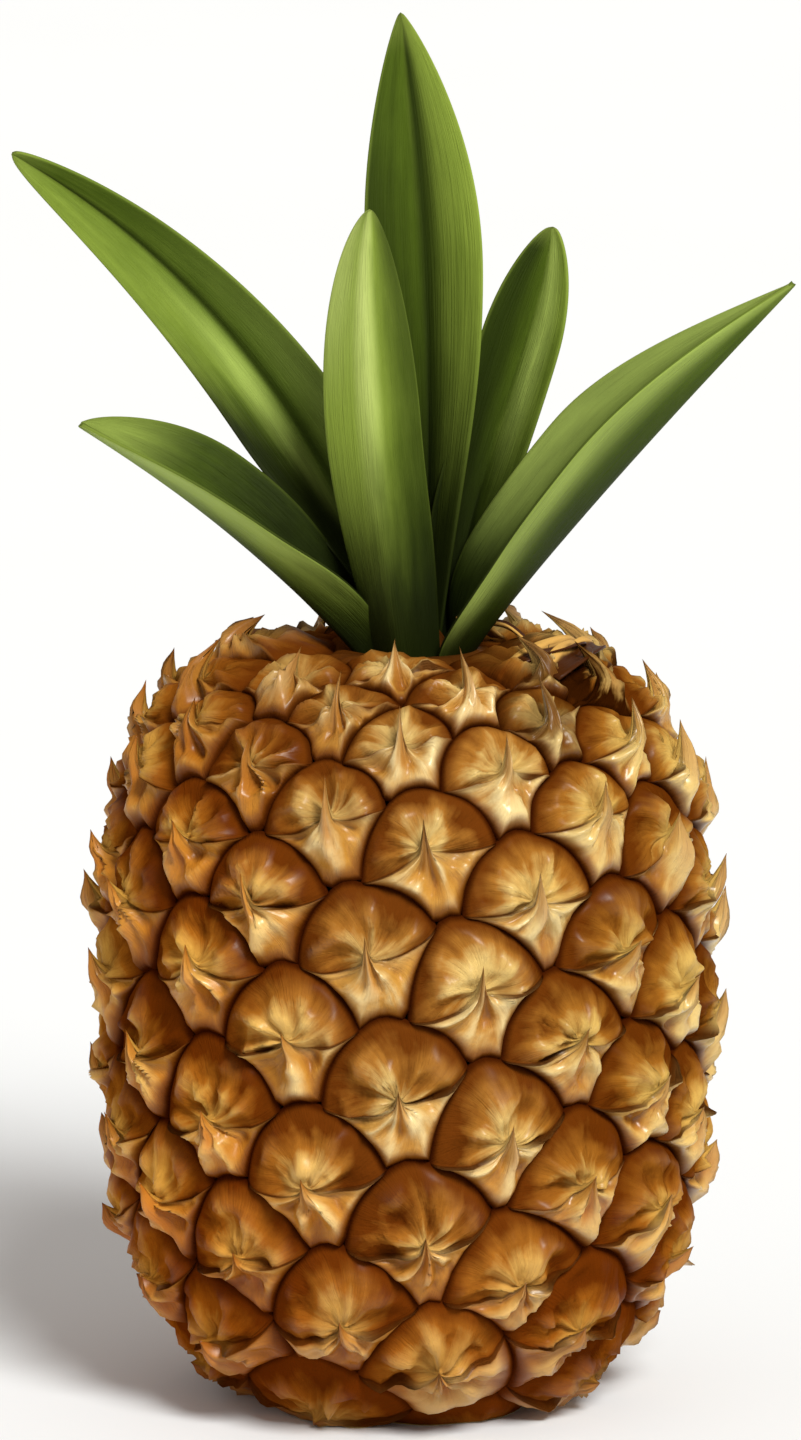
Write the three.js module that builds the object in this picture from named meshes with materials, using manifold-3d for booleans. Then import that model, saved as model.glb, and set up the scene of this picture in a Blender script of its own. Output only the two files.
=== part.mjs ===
// A whole pineapple standing on its cut base, with a sparse crown of six leaves.
// Millimetres, +Z up, the shown side towards -Y. The origin is at the bottom centre of the bounding box.
import * as THREE from "three";
import { ConvexHull } from "three/addons/math/ConvexHull.js";
import { mergeVertices } from "three/addons/utils/BufferGeometryUtils.js";
import Module from "manifold-3d";

// Fruit body: a barrel of revolution over the tops of the eyes
const BARREL_RADIUS = 61.5;
const WIDEST_HEIGHT = 82;
const SHOULDER_RISE = 74; // from the widest level up to the flat top
const SHOULDER_POWER = 3.3;
const FOOT_DROP = 87; // from the widest level down to where the barrel would close, under the cut
const FOOT_POWER = 2.7;
const CROWN_DISH = 3.5; // how far the top sinks towards the crown
const CROWN_DISH_RADIUS = 14;

const PROFILE_STEPS = 800;
const SLOPE_REACH = 3; // the skin's slope is taken over this far each way, so the outline has no kinks

// Eyes: one golden-angle spiral, which gives 8 and 13 rows that cross
const DIVERGENCE = 137.377; // degrees from each eye to the one above
const MIDDLE_EYE = 44; // the eye that faces the front
const MIDDLE_EYE_AZIMUTH = -3.8;
const FIRST_EYE = -6; // the lowest ones are cut off with the base
const LAST_EYE = 120;
const EYE_PHASE = 6.9; // eyes' worth of skin between the barrel's lower pole and eye 0
const EYE_AREA = 530; // mm2 of skin for each eye at the waist
const TOP_CROWDING = 0.95; // eyes get smaller from this height up, over this reach
const TOP_CROWDING_FROM = 95;
const TOP_CROWDING_REACH = 60;
const FOOT_CROWDING = -0.5; // and larger from this height down
const FOOT_CROWDING_FROM = 45;
const FRONT_SWELL = 0.056; // the eyes of the front are wider than those of the back
const SIDE_LEAN = 2.4; // mm that the rows climb towards the right
const EYE_SCATTER = 2.9; // mm that an eye can be off its even place
const SIDE_BOW = 2.1; // mm that an eye's upper sides bow outwards into the bracts above
const SIDE_BOW_SHARE = 0.17; // and no more than this share of the side

// Seeds of the unevenness; the first two settle where each eye of the front sits
const SEED = { azimuth: 38740, height: 24870, tipOut: 3, tipUp: 4, bulge: 5 };
const TIP_OUT_VARIATION = 0.3;
const TIP_UP_VARIATION = 0.4;
const BULGE_VARIATION = 0.12;

// One eye: a domed cap above, a papery bract below, and the bract's hooked tip between them
const GROOVE_DEPTH = 4.4;
const CAP_ROUNDNESS = 4; // the higher, the flatter the cap's middle
const BRACT_STEP = 0.6; // share of the depth that the bract gains straight out of the groove
const BRACT_STEP_RUN = 0.07; // share of the eye that this takes
const BRACT_LIFT = 1.3; // how far the bract's upper edge stands over the cap
const BRACT_FOLD = 0.4;
const BRACT_LIP = 0.5;
const CREVICE_DEPTH = 1.7; // between the cap's lower edge and the bract's lip
const CREVICE_WIDTH = 0.9;
const RIGHT_CORNER = THREE.MathUtils.degToRad(4); // where the crease meets the eye's outline
const LEFT_CORNER = THREE.MathUtils.degToRad(184);
const SCALLOP = THREE.MathUtils.degToRad(34); // how far the cap's two lobes hang below the tip
const SCALLOP_POWER = 0.9;
const TIP_DROP = 2; // how far the tip sits below the eye's centre
const TIP_OUT = [1.9, 3.4]; // at the base and at the shoulder
const TIP_UP = [1.4, 3.5];
const TIP_SPREAD = 0.22; // share of the eye that runs out into the tip
const TIP_SHARPNESS = 1.5;
const RINGS = [0.86, 0.5, 0.15]; // shares of the eye where its rings of vertices are

// Crown seat and the short stem that carries the leaves
const FRUIT_CENTRE_X = 1.1;
const SEAT_HEIGHT = 151;
const SEAT_RIM = 0.25; // share of the way from the groove to the stem where the seat gets flat
const STEM_OFFSET = 2.9; // from the fruit's axis towards the right
const STEM_RADIUS = 5.2;
const STEM_TAPER = 0.8;
const STEM_HEIGHT = 5;
const STEM_DOME = 1;
const LEAF_ROOT_HEIGHT = 148; // a little under the seat, so each leaf is sunk into it
const CLEARANCE = 0.3; // between a leaf and what it touches

const RIND = new THREE.MeshStandardMaterial({ color: 0xb07a34, roughness: 0.5, metalness: 0 });
const LEAF_GREEN = new THREE.MeshStandardMaterial({ color: 0x5c7a28, roughness: 0.45, metalness: 0 });

const wasm = await Module();
wasm.setup();

const { degToRad, lerp, clamp, smoothstep } = THREE.MathUtils;

/** Repeatable noise from -1 to 1 for a whole number and a channel. */
function noise(number, channel) {
  const value = Math.sin(number * 12.9898 + channel * 78.233) * 43758.5453;
  return 2 * (value - Math.floor(value)) - 1;
}

/** The barrel's outline from its lower pole to its upper one, with its running measures. */
function makeProfile() {
  const points = [];
  for (let i = 0; i <= PROFILE_STEPS; i++) {
    const angle = lerp(-Math.PI / 2, Math.PI / 2, i / PROFILE_STEPS);
    const power = angle > 0 ? SHOULDER_POWER : FOOT_POWER;
    const reach = angle > 0 ? SHOULDER_RISE : FOOT_DROP;
    const r = BARREL_RADIUS * Math.pow(Math.max(Math.cos(angle), 0), 2 / power);
    const rise = Math.sign(angle) * reach * Math.pow(Math.abs(Math.sin(angle)), 2 / power);
    const dish = angle > 0 ? CROWN_DISH * Math.exp(-((r / CROWN_DISH_RADIUS) ** 2)) : 0;
    points.push({ r, z: WIDEST_HEIGHT + rise - dish });
  }

  Object.assign(points[0], { arc: 0, mercator: 0, eyes: 0 });
  for (let i = 1; i < points.length; i++) {
    const [a, b] = [points[i - 1], points[i]];
    const step = Math.hypot(b.r - a.r, b.z - a.z);
    const girth = Math.max((a.r + b.r) / 2, 0.05);
    const height = (a.z + b.z) / 2;
    const top = clamp((height - TOP_CROWDING_FROM) / TOP_CROWDING_REACH, 0, 1);
    const foot = clamp(1 - height / FOOT_CROWDING_FROM, 0, 1);
    const crowding = 1 + TOP_CROWDING * top ** 2 + FOOT_CROWDING * foot ** 2;
    b.arc = a.arc + step;
    b.mercator = a.mercator + step / girth;
    b.eyes = a.eyes + (2 * Math.PI * girth * step * crowding) / EYE_AREA;
  }
  return points;
}

const PROFILE = makeProfile();
const EQUATOR = PROFILE[(PROFILE.length - 1) / 2].mercator;

/** The profile where one of its rising measures reaches a value. */
function profileAt(key, value) {
  let low = 0;
  let high = PROFILE.length - 1;
  while (high - low > 1) {
    const middle = (low + high) >> 1;
    if (PROFILE[middle][key] <= value) low = middle;
    else high = middle;
  }
  const [a, b] = [PROFILE[low], PROFILE[high]];
  const span = b[key] - a[key];
  const share = span > 0 ? clamp((value - a[key]) / span, 0, 1) : 0;
  const found = {};
  for (const name of ["r", "z", "arc", "mercator", "eyes"]) found[name] = lerp(a[name], b[name], share);
  return found;
}

/** A point of the skin: azimuth from the front, arc along the profile, then mm out of the skin and up along it. */
function skinPoint(azimuth, arc, out, up) {
  const here = profileAt("arc", arc);
  const before = profileAt("arc", Math.max(arc - SLOPE_REACH, 0));
  const after = profileAt("arc", Math.min(arc + SLOPE_REACH, PROFILE.at(-1).arc));
  const length = Math.hypot(after.r - before.r, after.z - before.z);
  const [alongR, alongZ] = [(after.r - before.r) / length, (after.z - before.z) / length];
  const r = here.r + out * alongZ + up * alongR;
  const z = here.z - out * alongR + up * alongZ;
  return new THREE.Vector3(r * Math.sin(azimuth), -r * Math.cos(azimuth), z);
}

/** The direction on a unit sphere that stands for a place on the skin, angles kept true. */
function directionOf(azimuth, mercator) {
  const latitude = Math.asin(Math.tanh(mercator - EQUATOR));
  return new THREE.Vector3(
    Math.cos(latitude) * Math.sin(azimuth),
    -Math.cos(latitude) * Math.cos(azimuth),
    Math.sin(latitude),
  );
}

/** The skin point under a direction of the unit sphere. */
function pointUnder(direction, out, up) {
  const d = direction.clone().normalize();
  const mercator = Math.atanh(clamp(d.z, -0.999999, 0.999999)) + EQUATOR;
  const azimuth = Math.atan2(d.x, -d.y);
  return skinPoint(azimuth, profileAt("mercator", mercator).arc, out, up);
}

/** The eyes' centres in order up the spiral. */
function placeEyes() {
  const eyes = [];
  for (let i = FIRST_EYE; i <= LAST_EYE; i++) {
    const even = degToRad(MIDDLE_EYE_AZIMUTH - DIVERGENCE * (i - MIDDLE_EYE));
    const wrapped = Math.atan2(Math.sin(even), Math.cos(even));
    const place = profileAt("eyes", i + EYE_PHASE);
    const girth = clamp(place.r / BARREL_RADIUS, 0.1, 1);
    const sideways = (EYE_SCATTER * girth * noise(i, SEED.azimuth)) / place.r;
    const azimuth = wrapped + FRONT_SWELL * Math.sin(wrapped) + sideways;
    const upwards = SIDE_LEAN * Math.sin(azimuth) + EYE_SCATTER * noise(i, SEED.height);
    const arc = place.arc + girth * upwards;
    const height = clamp(place.z / (WIDEST_HEIGHT + SHOULDER_RISE), 0, 1);
    eyes.push({
      direction: directionOf(azimuth, profileAt("arc", arc).mercator),
      tipOut: lerp(...TIP_OUT, height) * (1 + TIP_OUT_VARIATION * noise(i, SEED.tipOut)),
      tipUp: lerp(...TIP_UP, height) * (1 + TIP_UP_VARIATION * noise(i, SEED.tipUp)),
      bulge: 1 + BULGE_VARIATION * noise(i, SEED.bulge),
    });
  }
  return eyes;
}

/**
 * The cells round the given directions: for each one its corners, as numbers of hull faces,
 * and for each pair of corners the two directions that the side between them parts.
 */
function cellsRound(directions) {
  const hull = new ConvexHull().setFromPoints(directions);
  const corners = hull.faces.map((face) => face.normal.clone().normalize());
  const cells = directions.map(() => []);
  const sides = new Map();
  const cellOf = new Map(directions.map((d, i) => [d, i]));
  const cornerOf = new Map(hull.faces.map((face, i) => [face, i]));
  hull.faces.forEach((face, i) => {
    let edge = face.edge;
    do {
      cells[cellOf.get(edge.head().point)].push(i);
      const other = cornerOf.get(edge.twin.face);
      if (i < other) sides.set(i + "_" + other, [edge.head().point, edge.tail().point]);
      edge = edge.next;
    } while (edge !== face.edge);
  });
  return { corners, cells, sides };
}

/** East and north on the unit sphere at a direction. */
function localAxes(direction) {
  const pole = Math.hypot(direction.x, direction.y) < 1e-6;
  const east = pole ? new THREE.Vector3(1, 0, 0) : new THREE.Vector3(-direction.y, direction.x, 0).normalize();
  return { east, north: direction.clone().cross(east) };
}

/** Collects vertices and triangles of the skin. */
class Skin {
  constructor(corners, sides) {
    this.corners = corners;
    this.sides = sides;
    this.positions = [];
    this.triangles = [];
    this.shared = new Map();
  }

  add(point) {
    this.positions.push(point);
    return this.positions.length - 1;
  }

  /** A vertex of the groove net, the same one for every cell that meets there. */
  grooveVertex(key, direction) {
    if (!this.shared.has(key)) this.shared.set(key, this.add(pointUnder(direction, -GROOVE_DEPTH, 0)));
    return this.shared.get(key);
  }

  /** The middle of a side, bowed towards the upper of its two cells. */
  sideMiddle(key, from, to) {
    const [a, b] = this.sides.get(key);
    const [upper, lower] = a.z > b.z ? [a, b] : [b, a];
    const across = upper.clone().sub(lower).normalize();
    const steepness = Math.min(1, 2 * across.dot(localAxes(from).north));
    const scale = Math.sqrt(1 - from.z ** 2) / Math.max(pointUnder(from, 0, 0).setZ(0).length(), 1);
    const bow = Math.min(SIDE_BOW * scale, SIDE_BOW_SHARE * from.distanceTo(to)) * steepness;
    return from.clone().add(to).multiplyScalar(0.5).addScaledVector(across, bow).normalize();
  }

  /** The vertices round a cell, anticlockwise from outside: corners, and the middle of each long side. */
  border(centre, cell) {
    const { east, north } = localAxes(centre);
    const flat = (d) => {
      const scale = 1 / d.dot(centre);
      return { x: d.dot(east) * scale, y: d.dot(north) * scale };
    };
    const ordered = cell
      .map((corner) => {
        const at = flat(this.corners[corner]);
        return { corner, angle: Math.atan2(at.y, at.x) };
      })
      .sort((a, b) => a.angle - b.angle);
    const ring = [];
    ordered.forEach(({ corner }, i) => {
      const next = ordered[(i + 1) % ordered.length].corner;
      const [from, to] = [this.corners[corner], this.corners[next]];
      ring.push({ vertex: this.grooveVertex("corner" + corner, from), ...flat(from), corner: true });
      const key = Math.min(corner, next) + "_" + Math.max(corner, next);
      const middle = this.sideMiddle(key, from, to);
      ring.push({ vertex: this.grooveVertex(key, middle), ...flat(middle), corner: false });
    });
    for (const spot of ring) {
      spot.angle = Math.atan2(spot.y, spot.x);
      spot.reach = Math.hypot(spot.x, spot.y);
    }
    return ring;
  }

  /** Two rings of equally many vertices joined by a band; repeated vertices leave single triangles. */
  band(outer, inner) {
    outer.forEach((a, i) => {
      const b = outer[(i + 1) % outer.length];
      const [d, c] = [inner[i], inner[(i + 1) % inner.length]];
      if (a !== b) this.triangles.push([a, b, c]);
      if (c !== d) this.triangles.push([a, c, d]);
    });
  }
}

/** How far the skin stands out of, and up along, the barrel at a place in an eye. */
function eyeRelief(eye, side, share, rho) {
  const run = Math.pow(Math.max(1 - rho / TIP_SPREAD, 0), TIP_SHARPNESS);
  const depth = GROOVE_DEPTH * eye.bulge;
  let out = -GROOVE_DEPTH;
  if (side === "cap") {
    out += depth * Math.sqrt(Math.max(1 - Math.pow(rho, CAP_ROUNDNESS), 0));
  } else {
    const step = 1 - Math.exp(-(1 - rho) / BRACT_STEP_RUN);
    const fold = Math.cos(share * Math.PI * 4) * Math.sin(Math.PI * rho);
    const slope = (1 - BRACT_STEP) * depth + BRACT_LIFT;
    out += BRACT_STEP * depth * step + slope * (1 - rho) + BRACT_FOLD * fold;
  }
  return { out: out + eye.tipOut * run, up: eye.tipUp * run };
}

/** One eye's rings from the groove to the tip of its bract. */
function addEye(skin, eye, cell) {
  const ring = skin.border(eye.direction, cell);
  const { east, north } = localAxes(eye.direction);
  const cornerAt = (aim) =>
    ring
      .filter((spot) => spot.corner)
      .reduce((best, spot) => {
        const gap = (s) => Math.abs(Math.atan2(Math.sin(s.angle - aim), Math.cos(s.angle - aim)));
        return gap(spot) < gap(best) ? spot : best;
      });
  const right = cornerAt(RIGHT_CORNER);
  const left = cornerAt(LEFT_CORNER);
  const turn = (angle) => (angle + 4 * Math.PI) % (2 * Math.PI);
  const capSpan = turn(left.angle - right.angle);
  const start = ring.indexOf(right);
  const spokes = [];
  ring.forEach((_, i) => {
    const spot = ring[(start + i) % ring.length];
    const along = turn(spot.angle - right.angle);
    if (spot === right) {
      spokes.push({ spot, side: "bract", share: 1, crease: true });
      spokes.push({ spot, side: "cap", share: 0, crease: true });
    } else if (spot === left) {
      spokes.push({ spot, side: "cap", share: 1, crease: true });
      spokes.push({ spot, side: "bract", share: 0, crease: true });
    } else if (along < capSpan) spokes.push({ spot, side: "cap", share: along / capSpan });
    else spokes.push({ spot, side: "bract", share: (along - capSpan) / (2 * Math.PI - capSpan) });
  });

  const meanReach = ring.reduce((sum, spot) => sum + spot.reach, 0) / ring.length;
  const scale = pointUnder(eye.direction, 0, 0).distanceTo(
    pointUnder(eye.direction.clone().addScaledVector(east, meanReach), 0, 0),
  );
  const ringAt = (rho) =>
    spokes.map(({ spot, side, share, crease }) => {
      const bend = SCALLOP * Math.pow(1 - rho, SCALLOP_POWER);
      const gap = crease ? (0.5 * CREVICE_WIDTH) / (rho * scale) : 0;
      const capFrom = right.angle - bend + gap;
      const capTo = right.angle + capSpan + bend - gap;
      const bractFrom = right.angle + capSpan + bend + gap;
      const bractTo = right.angle + 2 * Math.PI - bend - gap;
      const angle = side === "cap" ? lerp(capFrom, capTo, share) : lerp(bractFrom, bractTo, share);
      const reach = rho * lerp(meanReach, spot.reach, rho);
      const { out, up } = eyeRelief(eye, side, share, rho);
      const crevice = crease && side === "cap" ? -CREVICE_DEPTH : 0;
      const lip = crease && side === "bract" ? BRACT_LIP : 0;
      const drop = (TIP_DROP / scale) * meanReach * (1 - rho);
      const direction = eye.direction
        .clone()
        .addScaledVector(east, reach * Math.cos(angle))
        .addScaledVector(north, reach * Math.sin(angle) - drop);
      return skin.add(pointUnder(direction, out + crevice + lip, up));
    });

  const border = spokes.map(({ spot }) => spot.vertex);
  const [shoulder, slope, collar] = RINGS.map(ringAt);
  skin.band(border, shoulder);
  skin.band(shoulder, slope);
  // Around the tip every second spoke is enough, the creases always among them
  let kept = 0;
  const thinned = spokes.map(({ crease }, i) => {
    if (crease || i % 2 === 0) kept = i;
    return collar[kept];
  });
  skin.band(slope, thinned);
  const { out, up } = eyeRelief(eye, "cap", 0.5, 0);
  const under = eye.direction.clone().addScaledVector(north, (-TIP_DROP / scale) * meanReach);
  const tip = skin.add(pointUnder(under, out, up));
  skin.band(thinned, thinned.map(() => tip));
}

/** The flat seat of the crown with the stem on it. */
function addSeat(skin, cell) {
  const ring = skin.border(new THREE.Vector3(0, 0, 1), cell);
  const border = ring.map(({ vertex }) => vertex);
  const circle = (radius, height, share) =>
    ring.map(({ vertex }, i) => {
      const edge = skin.positions[vertex];
      const angle = (2 * Math.PI * (i + 0.5)) / ring.length + Math.atan2(ring[0].y, ring[0].x);
      const round = new THREE.Vector3(STEM_OFFSET + radius * Math.cos(angle), radius * Math.sin(angle), height);
      return skin.add(new THREE.Vector3(edge.x, edge.y, height).lerp(round, share));
    });
  const rim = circle(STEM_RADIUS, SEAT_HEIGHT, SEAT_RIM);
  const foot = circle(STEM_RADIUS, SEAT_HEIGHT, 1);
  const shoulder = circle(STEM_TAPER * STEM_RADIUS, SEAT_HEIGHT + STEM_HEIGHT, 1);
  const top = skin.add(new THREE.Vector3(STEM_OFFSET, 0, SEAT_HEIGHT + STEM_HEIGHT + STEM_DOME));
  skin.band(border, rim);
  skin.band(rim, foot);
  skin.band(foot, shoulder);
  skin.band(shoulder, shoulder.map(() => top));
}

/** A manifold-3d solid from points and triangles. */
function solidFrom(positions, triangles) {
  const geometry = new THREE.BufferGeometry();
  geometry.setAttribute("position", new THREE.Float32BufferAttribute(positions.flatMap((p) => p.toArray()), 3));
  geometry.setIndex(triangles.flat());
  const merged = mergeVertices(geometry, 1e-4);
  return new wasm.Manifold(
    new wasm.Mesh({
      numProp: 3,
      vertProperties: merged.attributes.position.array,
      triVerts: new Uint32Array(merged.index.array),
    }),
  );
}

/** The fruit: every eye and the crown seat as one closed skin, cut flat underneath. */
function makeFruit() {
  const eyes = placeEyes();
  const directions = [...eyes.map((eye) => eye.direction), new THREE.Vector3(0, 0, 1)];
  const { corners, cells, sides } = cellsRound(directions);
  const skin = new Skin(corners, sides);
  eyes.forEach((eye, i) => addEye(skin, eye, cells[i]));
  addSeat(skin, cells[eyes.length]);
  return solidFrom(skin.positions, skin.triangles).trimByPlane([0, 0, 1], 0).translate([FRUIT_CENTRE_X, 0, 0]);
}

// Leaves: each one grows from the stem at an azimuth and follows a curve to its tip. Places are x, y, z in mm.
// The fold is how far each half stands up from flat, at the root and at the tip; the inner face starts towards
// the stem and ends towards the given azimuth and elevation.
const LEAVES = [
  {
    name: "leaf_front",
    root: { azimuth: -21, radius: 9.6, halfWidth: 7.9 },
    curve: [[-4, -14, 178.5], [-8, -20, 220.5], [-6, -23, 243.7]],
    blade: { halfWidth: 11, widest: 0.5, bluntness: 0.7 },
    fold: [30, 30],
    inner: { azimuth: 184, elevation: 20 },
  },
  {
    name: "leaf_right_long",
    root: { azimuth: 75, radius: 8.5, halfWidth: 5.6 },
    curve: [[12, -4, 152], [28, -6, 173], [78, -7, 227.2]],
    blade: { halfWidth: 18, widest: 0.7, bluntness: 0.95 },
    fold: [30, 58],
    inner: { azimuth: -77, elevation: 24 },
  },
  {
    name: "leaf_left_low",
    root: { azimuth: -75, radius: 9.2, halfWidth: 7 },
    curve: [[-21, -5, 167], [-39, -8, 183.6], [-63.6, -10, 199.3]],
    blade: { halfWidth: 13.5, widest: 0.65, bluntness: 0.7 },
    fold: [70, 33],
    inner: { azimuth: 60, elevation: 44 },
  },
  {
    name: "leaf_back_tall",
    root: { azimuth: 172, radius: 9.4, halfWidth: 5 },
    curve: [[6, 12, 194], [6, 17, 233], [0, 20, 278]],
    blade: { halfWidth: 14.5, widest: 0.6, bluntness: 0.8 },
    fold: [58, 22],
    inner: { azimuth: 0, elevation: 30 },
  },
  {
    name: "leaf_left_long",
    root: { azimuth: -132, radius: 9, halfWidth: 9.5 },
    curve: [[-5, 12, 176], [-32, 20, 224], [-78, 22, 249.5]],
    blade: { halfWidth: 14.5, widest: 0.37, bluntness: 0.6 },
    fold: [43, 37],
    inner: { azimuth: 19, elevation: -21 },
  },
  {
    name: "leaf_right_back",
    root: { azimuth: 128, radius: 9.6, halfWidth: 5.5 },
    curve: [[10, 10, 179], [27, 16, 210], [30.5, 19, 235]],
    blade: { halfWidth: 10.5, widest: 0.7, bluntness: 0.6 },
    fold: [33, 42],
    inner: { azimuth: -11, elevation: 0 },
  },
];
const LEAF_STATIONS = 12;
const STATION_CROWDING = 1.25; // stations get closer towards the tip
const LEAF_COLUMNS = 6;
const LEAF_THICKNESS = 2.4; // at the root, along the midrib
const LEAF_THINNING = 0.5; // share of it lost by the tip
const LEAF_EDGE = 0.3;
const MIDRIB_ROUNDING = 0.14; // share of the half width over which the fold is round
const TURNED_AT = 0.5; // share of the length by which the inner face has turned to its own side

/** A horizontal azimuth and an elevation as a direction. */
function bearing(azimuth, elevation = 0) {
  const [a, e] = [degToRad(azimuth), degToRad(elevation)];
  return new THREE.Vector3(Math.cos(e) * Math.sin(a), -Math.cos(e) * Math.cos(a), Math.sin(e));
}

/** Half the width of a leaf laid flat, at a share of its length. */
function leafHalfWidth({ root, blade }, along) {
  if (along < blade.widest) {
    return lerp(root.halfWidth, blade.halfWidth, Math.sin(((along / blade.widest) * Math.PI) / 2));
  }
  const past = (along - blade.widest) / (1 - blade.widest);
  return blade.halfWidth * Math.pow(Math.max(Math.cos((past * Math.PI) / 2), 0), blade.bluntness);
}

/** Where a leaf's midrib is at a share of its length, and which way it runs, spreads and faces there. */
function leafFrame(leaf, along) {
  const root = bearing(leaf.root.azimuth).multiplyScalar(leaf.root.radius);
  root.add(new THREE.Vector3(FRUIT_CENTRE_X + STEM_OFFSET, 0, LEAF_ROOT_HEIGHT));
  const midrib = new THREE.CubicBezierCurve3(root, ...leaf.curve.map((place) => new THREE.Vector3(...place)));
  const run = midrib.getTangent(along);
  const towards = bearing(leaf.root.azimuth).negate();
  towards.lerp(bearing(leaf.inner.azimuth, leaf.inner.elevation), smoothstep(along, 0, TURNED_AT));
  const facing = towards.addScaledVector(run, -towards.dot(run)).normalize();
  return { centre: midrib.getPoint(along), run, facing, spread: run.clone().cross(facing) };
}

/** How far the fold rises off the midrib, at a share of the half width: round at first, then straight. */
function midribLift(w) {
  return Math.hypot(w, MIDRIB_ROUNDING) - MIDRIB_ROUNDING;
}

/** One leaf as a thin folded solid, both faces on the same net; grow adds clearance all round. */
function makeLeaf(leaf, grow = 0) {
  const positions = [];
  const triangles = [];
  const faces = { inner: [], outer: [] };
  const place = (face, row, point) => faces[face][row].push(positions.push(point) - 1);
  for (let i = 0; i < LEAF_STATIONS; i++) {
    const along = 1 - Math.pow(1 - i / LEAF_STATIONS, STATION_CROWDING);
    const { centre, run, facing, spread } = leafFrame(leaf, along);
    if (i === 0) centre.addScaledVector(run, -grow);
    const fold = degToRad(lerp(...leaf.fold, along));
    const half = leafHalfWidth(leaf, along) + 2 * grow;
    const rib = LEAF_THICKNESS * (1 - LEAF_THINNING * along);
    faces.inner.push([]);
    faces.outer.push([]);
    for (let j = 0; j <= LEAF_COLUMNS; j++) {
      const w = (2 * j) / LEAF_COLUMNS - 1;
      const lift = midribLift(w) / midribLift(1);
      const middle = centre
        .clone()
        .addScaledVector(spread, w * half * Math.cos(fold))
        .addScaledVector(facing, lift * half * Math.sin(fold));
      // Each face leans with its half of the fold
      const lean = facing
        .clone()
        .multiplyScalar(Math.cos(fold * w))
        .addScaledVector(spread, -Math.sin(fold * w));
      const thick = 0.5 * Math.max(rib * (1 - w * w), LEAF_EDGE) + grow;
      place("inner", i, middle.clone().addScaledVector(lean, thick));
      place("outer", i, middle.clone().addScaledVector(lean, -thick));
    }
  }
  const last = leafFrame(leaf, 1);
  const tip = positions.push(last.centre.addScaledVector(last.run, grow)) - 1;
  faces.inner.push(faces.inner[0].map(() => tip));
  faces.outer.push(faces.outer[0].map(() => tip));

  const quad = (a, b, c, d) => {
    if (a !== b) triangles.push([a, b, c]);
    if (c !== d) triangles.push([a, c, d]);
  };
  const { inner, outer } = faces;
  for (let i = 0; i < LEAF_STATIONS; i++) {
    for (let j = 0; j < LEAF_COLUMNS; j++) {
      quad(inner[i][j], inner[i][j + 1], inner[i + 1][j + 1], inner[i + 1][j]);
      quad(outer[i][j + 1], outer[i][j], outer[i + 1][j], outer[i + 1][j + 1]);
    }
    quad(outer[i][0], inner[i][0], inner[i + 1][0], outer[i + 1][0]);
    const far = LEAF_COLUMNS;
    quad(inner[i][far], outer[i][far], outer[i + 1][far], inner[i + 1][far]);
  }
  for (let j = 0; j < LEAF_COLUMNS; j++) {
    quad(inner[0][j + 1], inner[0][j], outer[0][j], outer[0][j + 1]);
  }
  return solidFrom(positions, triangles);
}

/** The largest body of a solid, in case a cut leaves a scrap. */
function largestBody(solid) {
  return solid.decompose().reduce((best, body) => (body.volume() > best.volume() ? body : best));
}

/** A named mesh from a solid. */
function meshFrom(solid, name, material) {
  const { numProp, vertProperties, triVerts } = solid.getMesh();
  const positions = [];
  for (let i = 0; i < vertProperties.length; i += numProp) {
    positions.push(vertProperties[i], vertProperties[i + 1], vertProperties[i + 2]);
  }
  const geometry = new THREE.BufferGeometry();
  geometry.setAttribute("position", new THREE.Float32BufferAttribute(positions, 3));
  geometry.setIndex([...triVerts]);
  geometry.computeVertexNormals();
  const mesh = new THREE.Mesh(geometry, material);
  mesh.name = name;
  return mesh;
}

const pineapple = new THREE.Group();
const grownLeaves = LEAVES.map((leaf) => makeLeaf(leaf, CLEARANCE));
const fruit = largestBody(grownLeaves.reduce((solid, leaf) => solid.subtract(leaf), makeFruit()));
pineapple.add(meshFrom(fruit, "fruit", RIND));
LEAVES.forEach((leaf, i) => {
  // Where two leaves press on each other near the stem, the later one gives way
  const trimmed = grownLeaves.slice(0, i).reduce((solid, other) => solid.subtract(other), makeLeaf(leaf));
  pineapple.add(meshFrom(largestBody(trimmed), leaf.name, LEAF_GREEN));
});

const box = new THREE.Box3().setFromObject(pineapple);
const middle = box.getCenter(new THREE.Vector3());
pineapple.position.set(-middle.x, -middle.y, -box.min.z);

export default pineapple;
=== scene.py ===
"""Dresses the pineapple: a rind of spiralling fruitlets, a crown of six folded leaves, and dry bracts.

Shapes are worked out in millimetres and go into the meshes in metres. The studio and the materials work in
metres.
"""

import logging
import math
from dataclasses import dataclass, field
from enum import Enum, IntEnum
from typing import Any, Callable

import bpy
import numpy as np
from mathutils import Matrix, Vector, noise


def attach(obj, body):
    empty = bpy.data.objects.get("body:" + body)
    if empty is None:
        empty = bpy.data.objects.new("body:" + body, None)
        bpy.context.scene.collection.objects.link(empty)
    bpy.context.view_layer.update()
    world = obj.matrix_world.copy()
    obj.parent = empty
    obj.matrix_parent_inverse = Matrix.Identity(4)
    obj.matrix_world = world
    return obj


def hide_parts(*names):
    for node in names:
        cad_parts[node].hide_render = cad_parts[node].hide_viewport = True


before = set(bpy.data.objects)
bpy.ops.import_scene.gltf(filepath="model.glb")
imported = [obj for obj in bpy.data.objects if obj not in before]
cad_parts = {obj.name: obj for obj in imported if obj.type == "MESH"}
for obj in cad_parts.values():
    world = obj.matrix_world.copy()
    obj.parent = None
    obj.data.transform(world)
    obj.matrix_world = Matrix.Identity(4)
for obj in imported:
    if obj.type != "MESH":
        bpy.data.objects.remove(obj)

LOG = logging.getLogger("pineapple")
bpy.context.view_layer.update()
MM = 0.001
TURN = 2 * math.pi
BODY = "root"

Tone = tuple[float, float, float, float]
Span = tuple[float, float]
Triple = tuple[float, float, float]
Socket = bpy.types.NodeSocket


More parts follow.
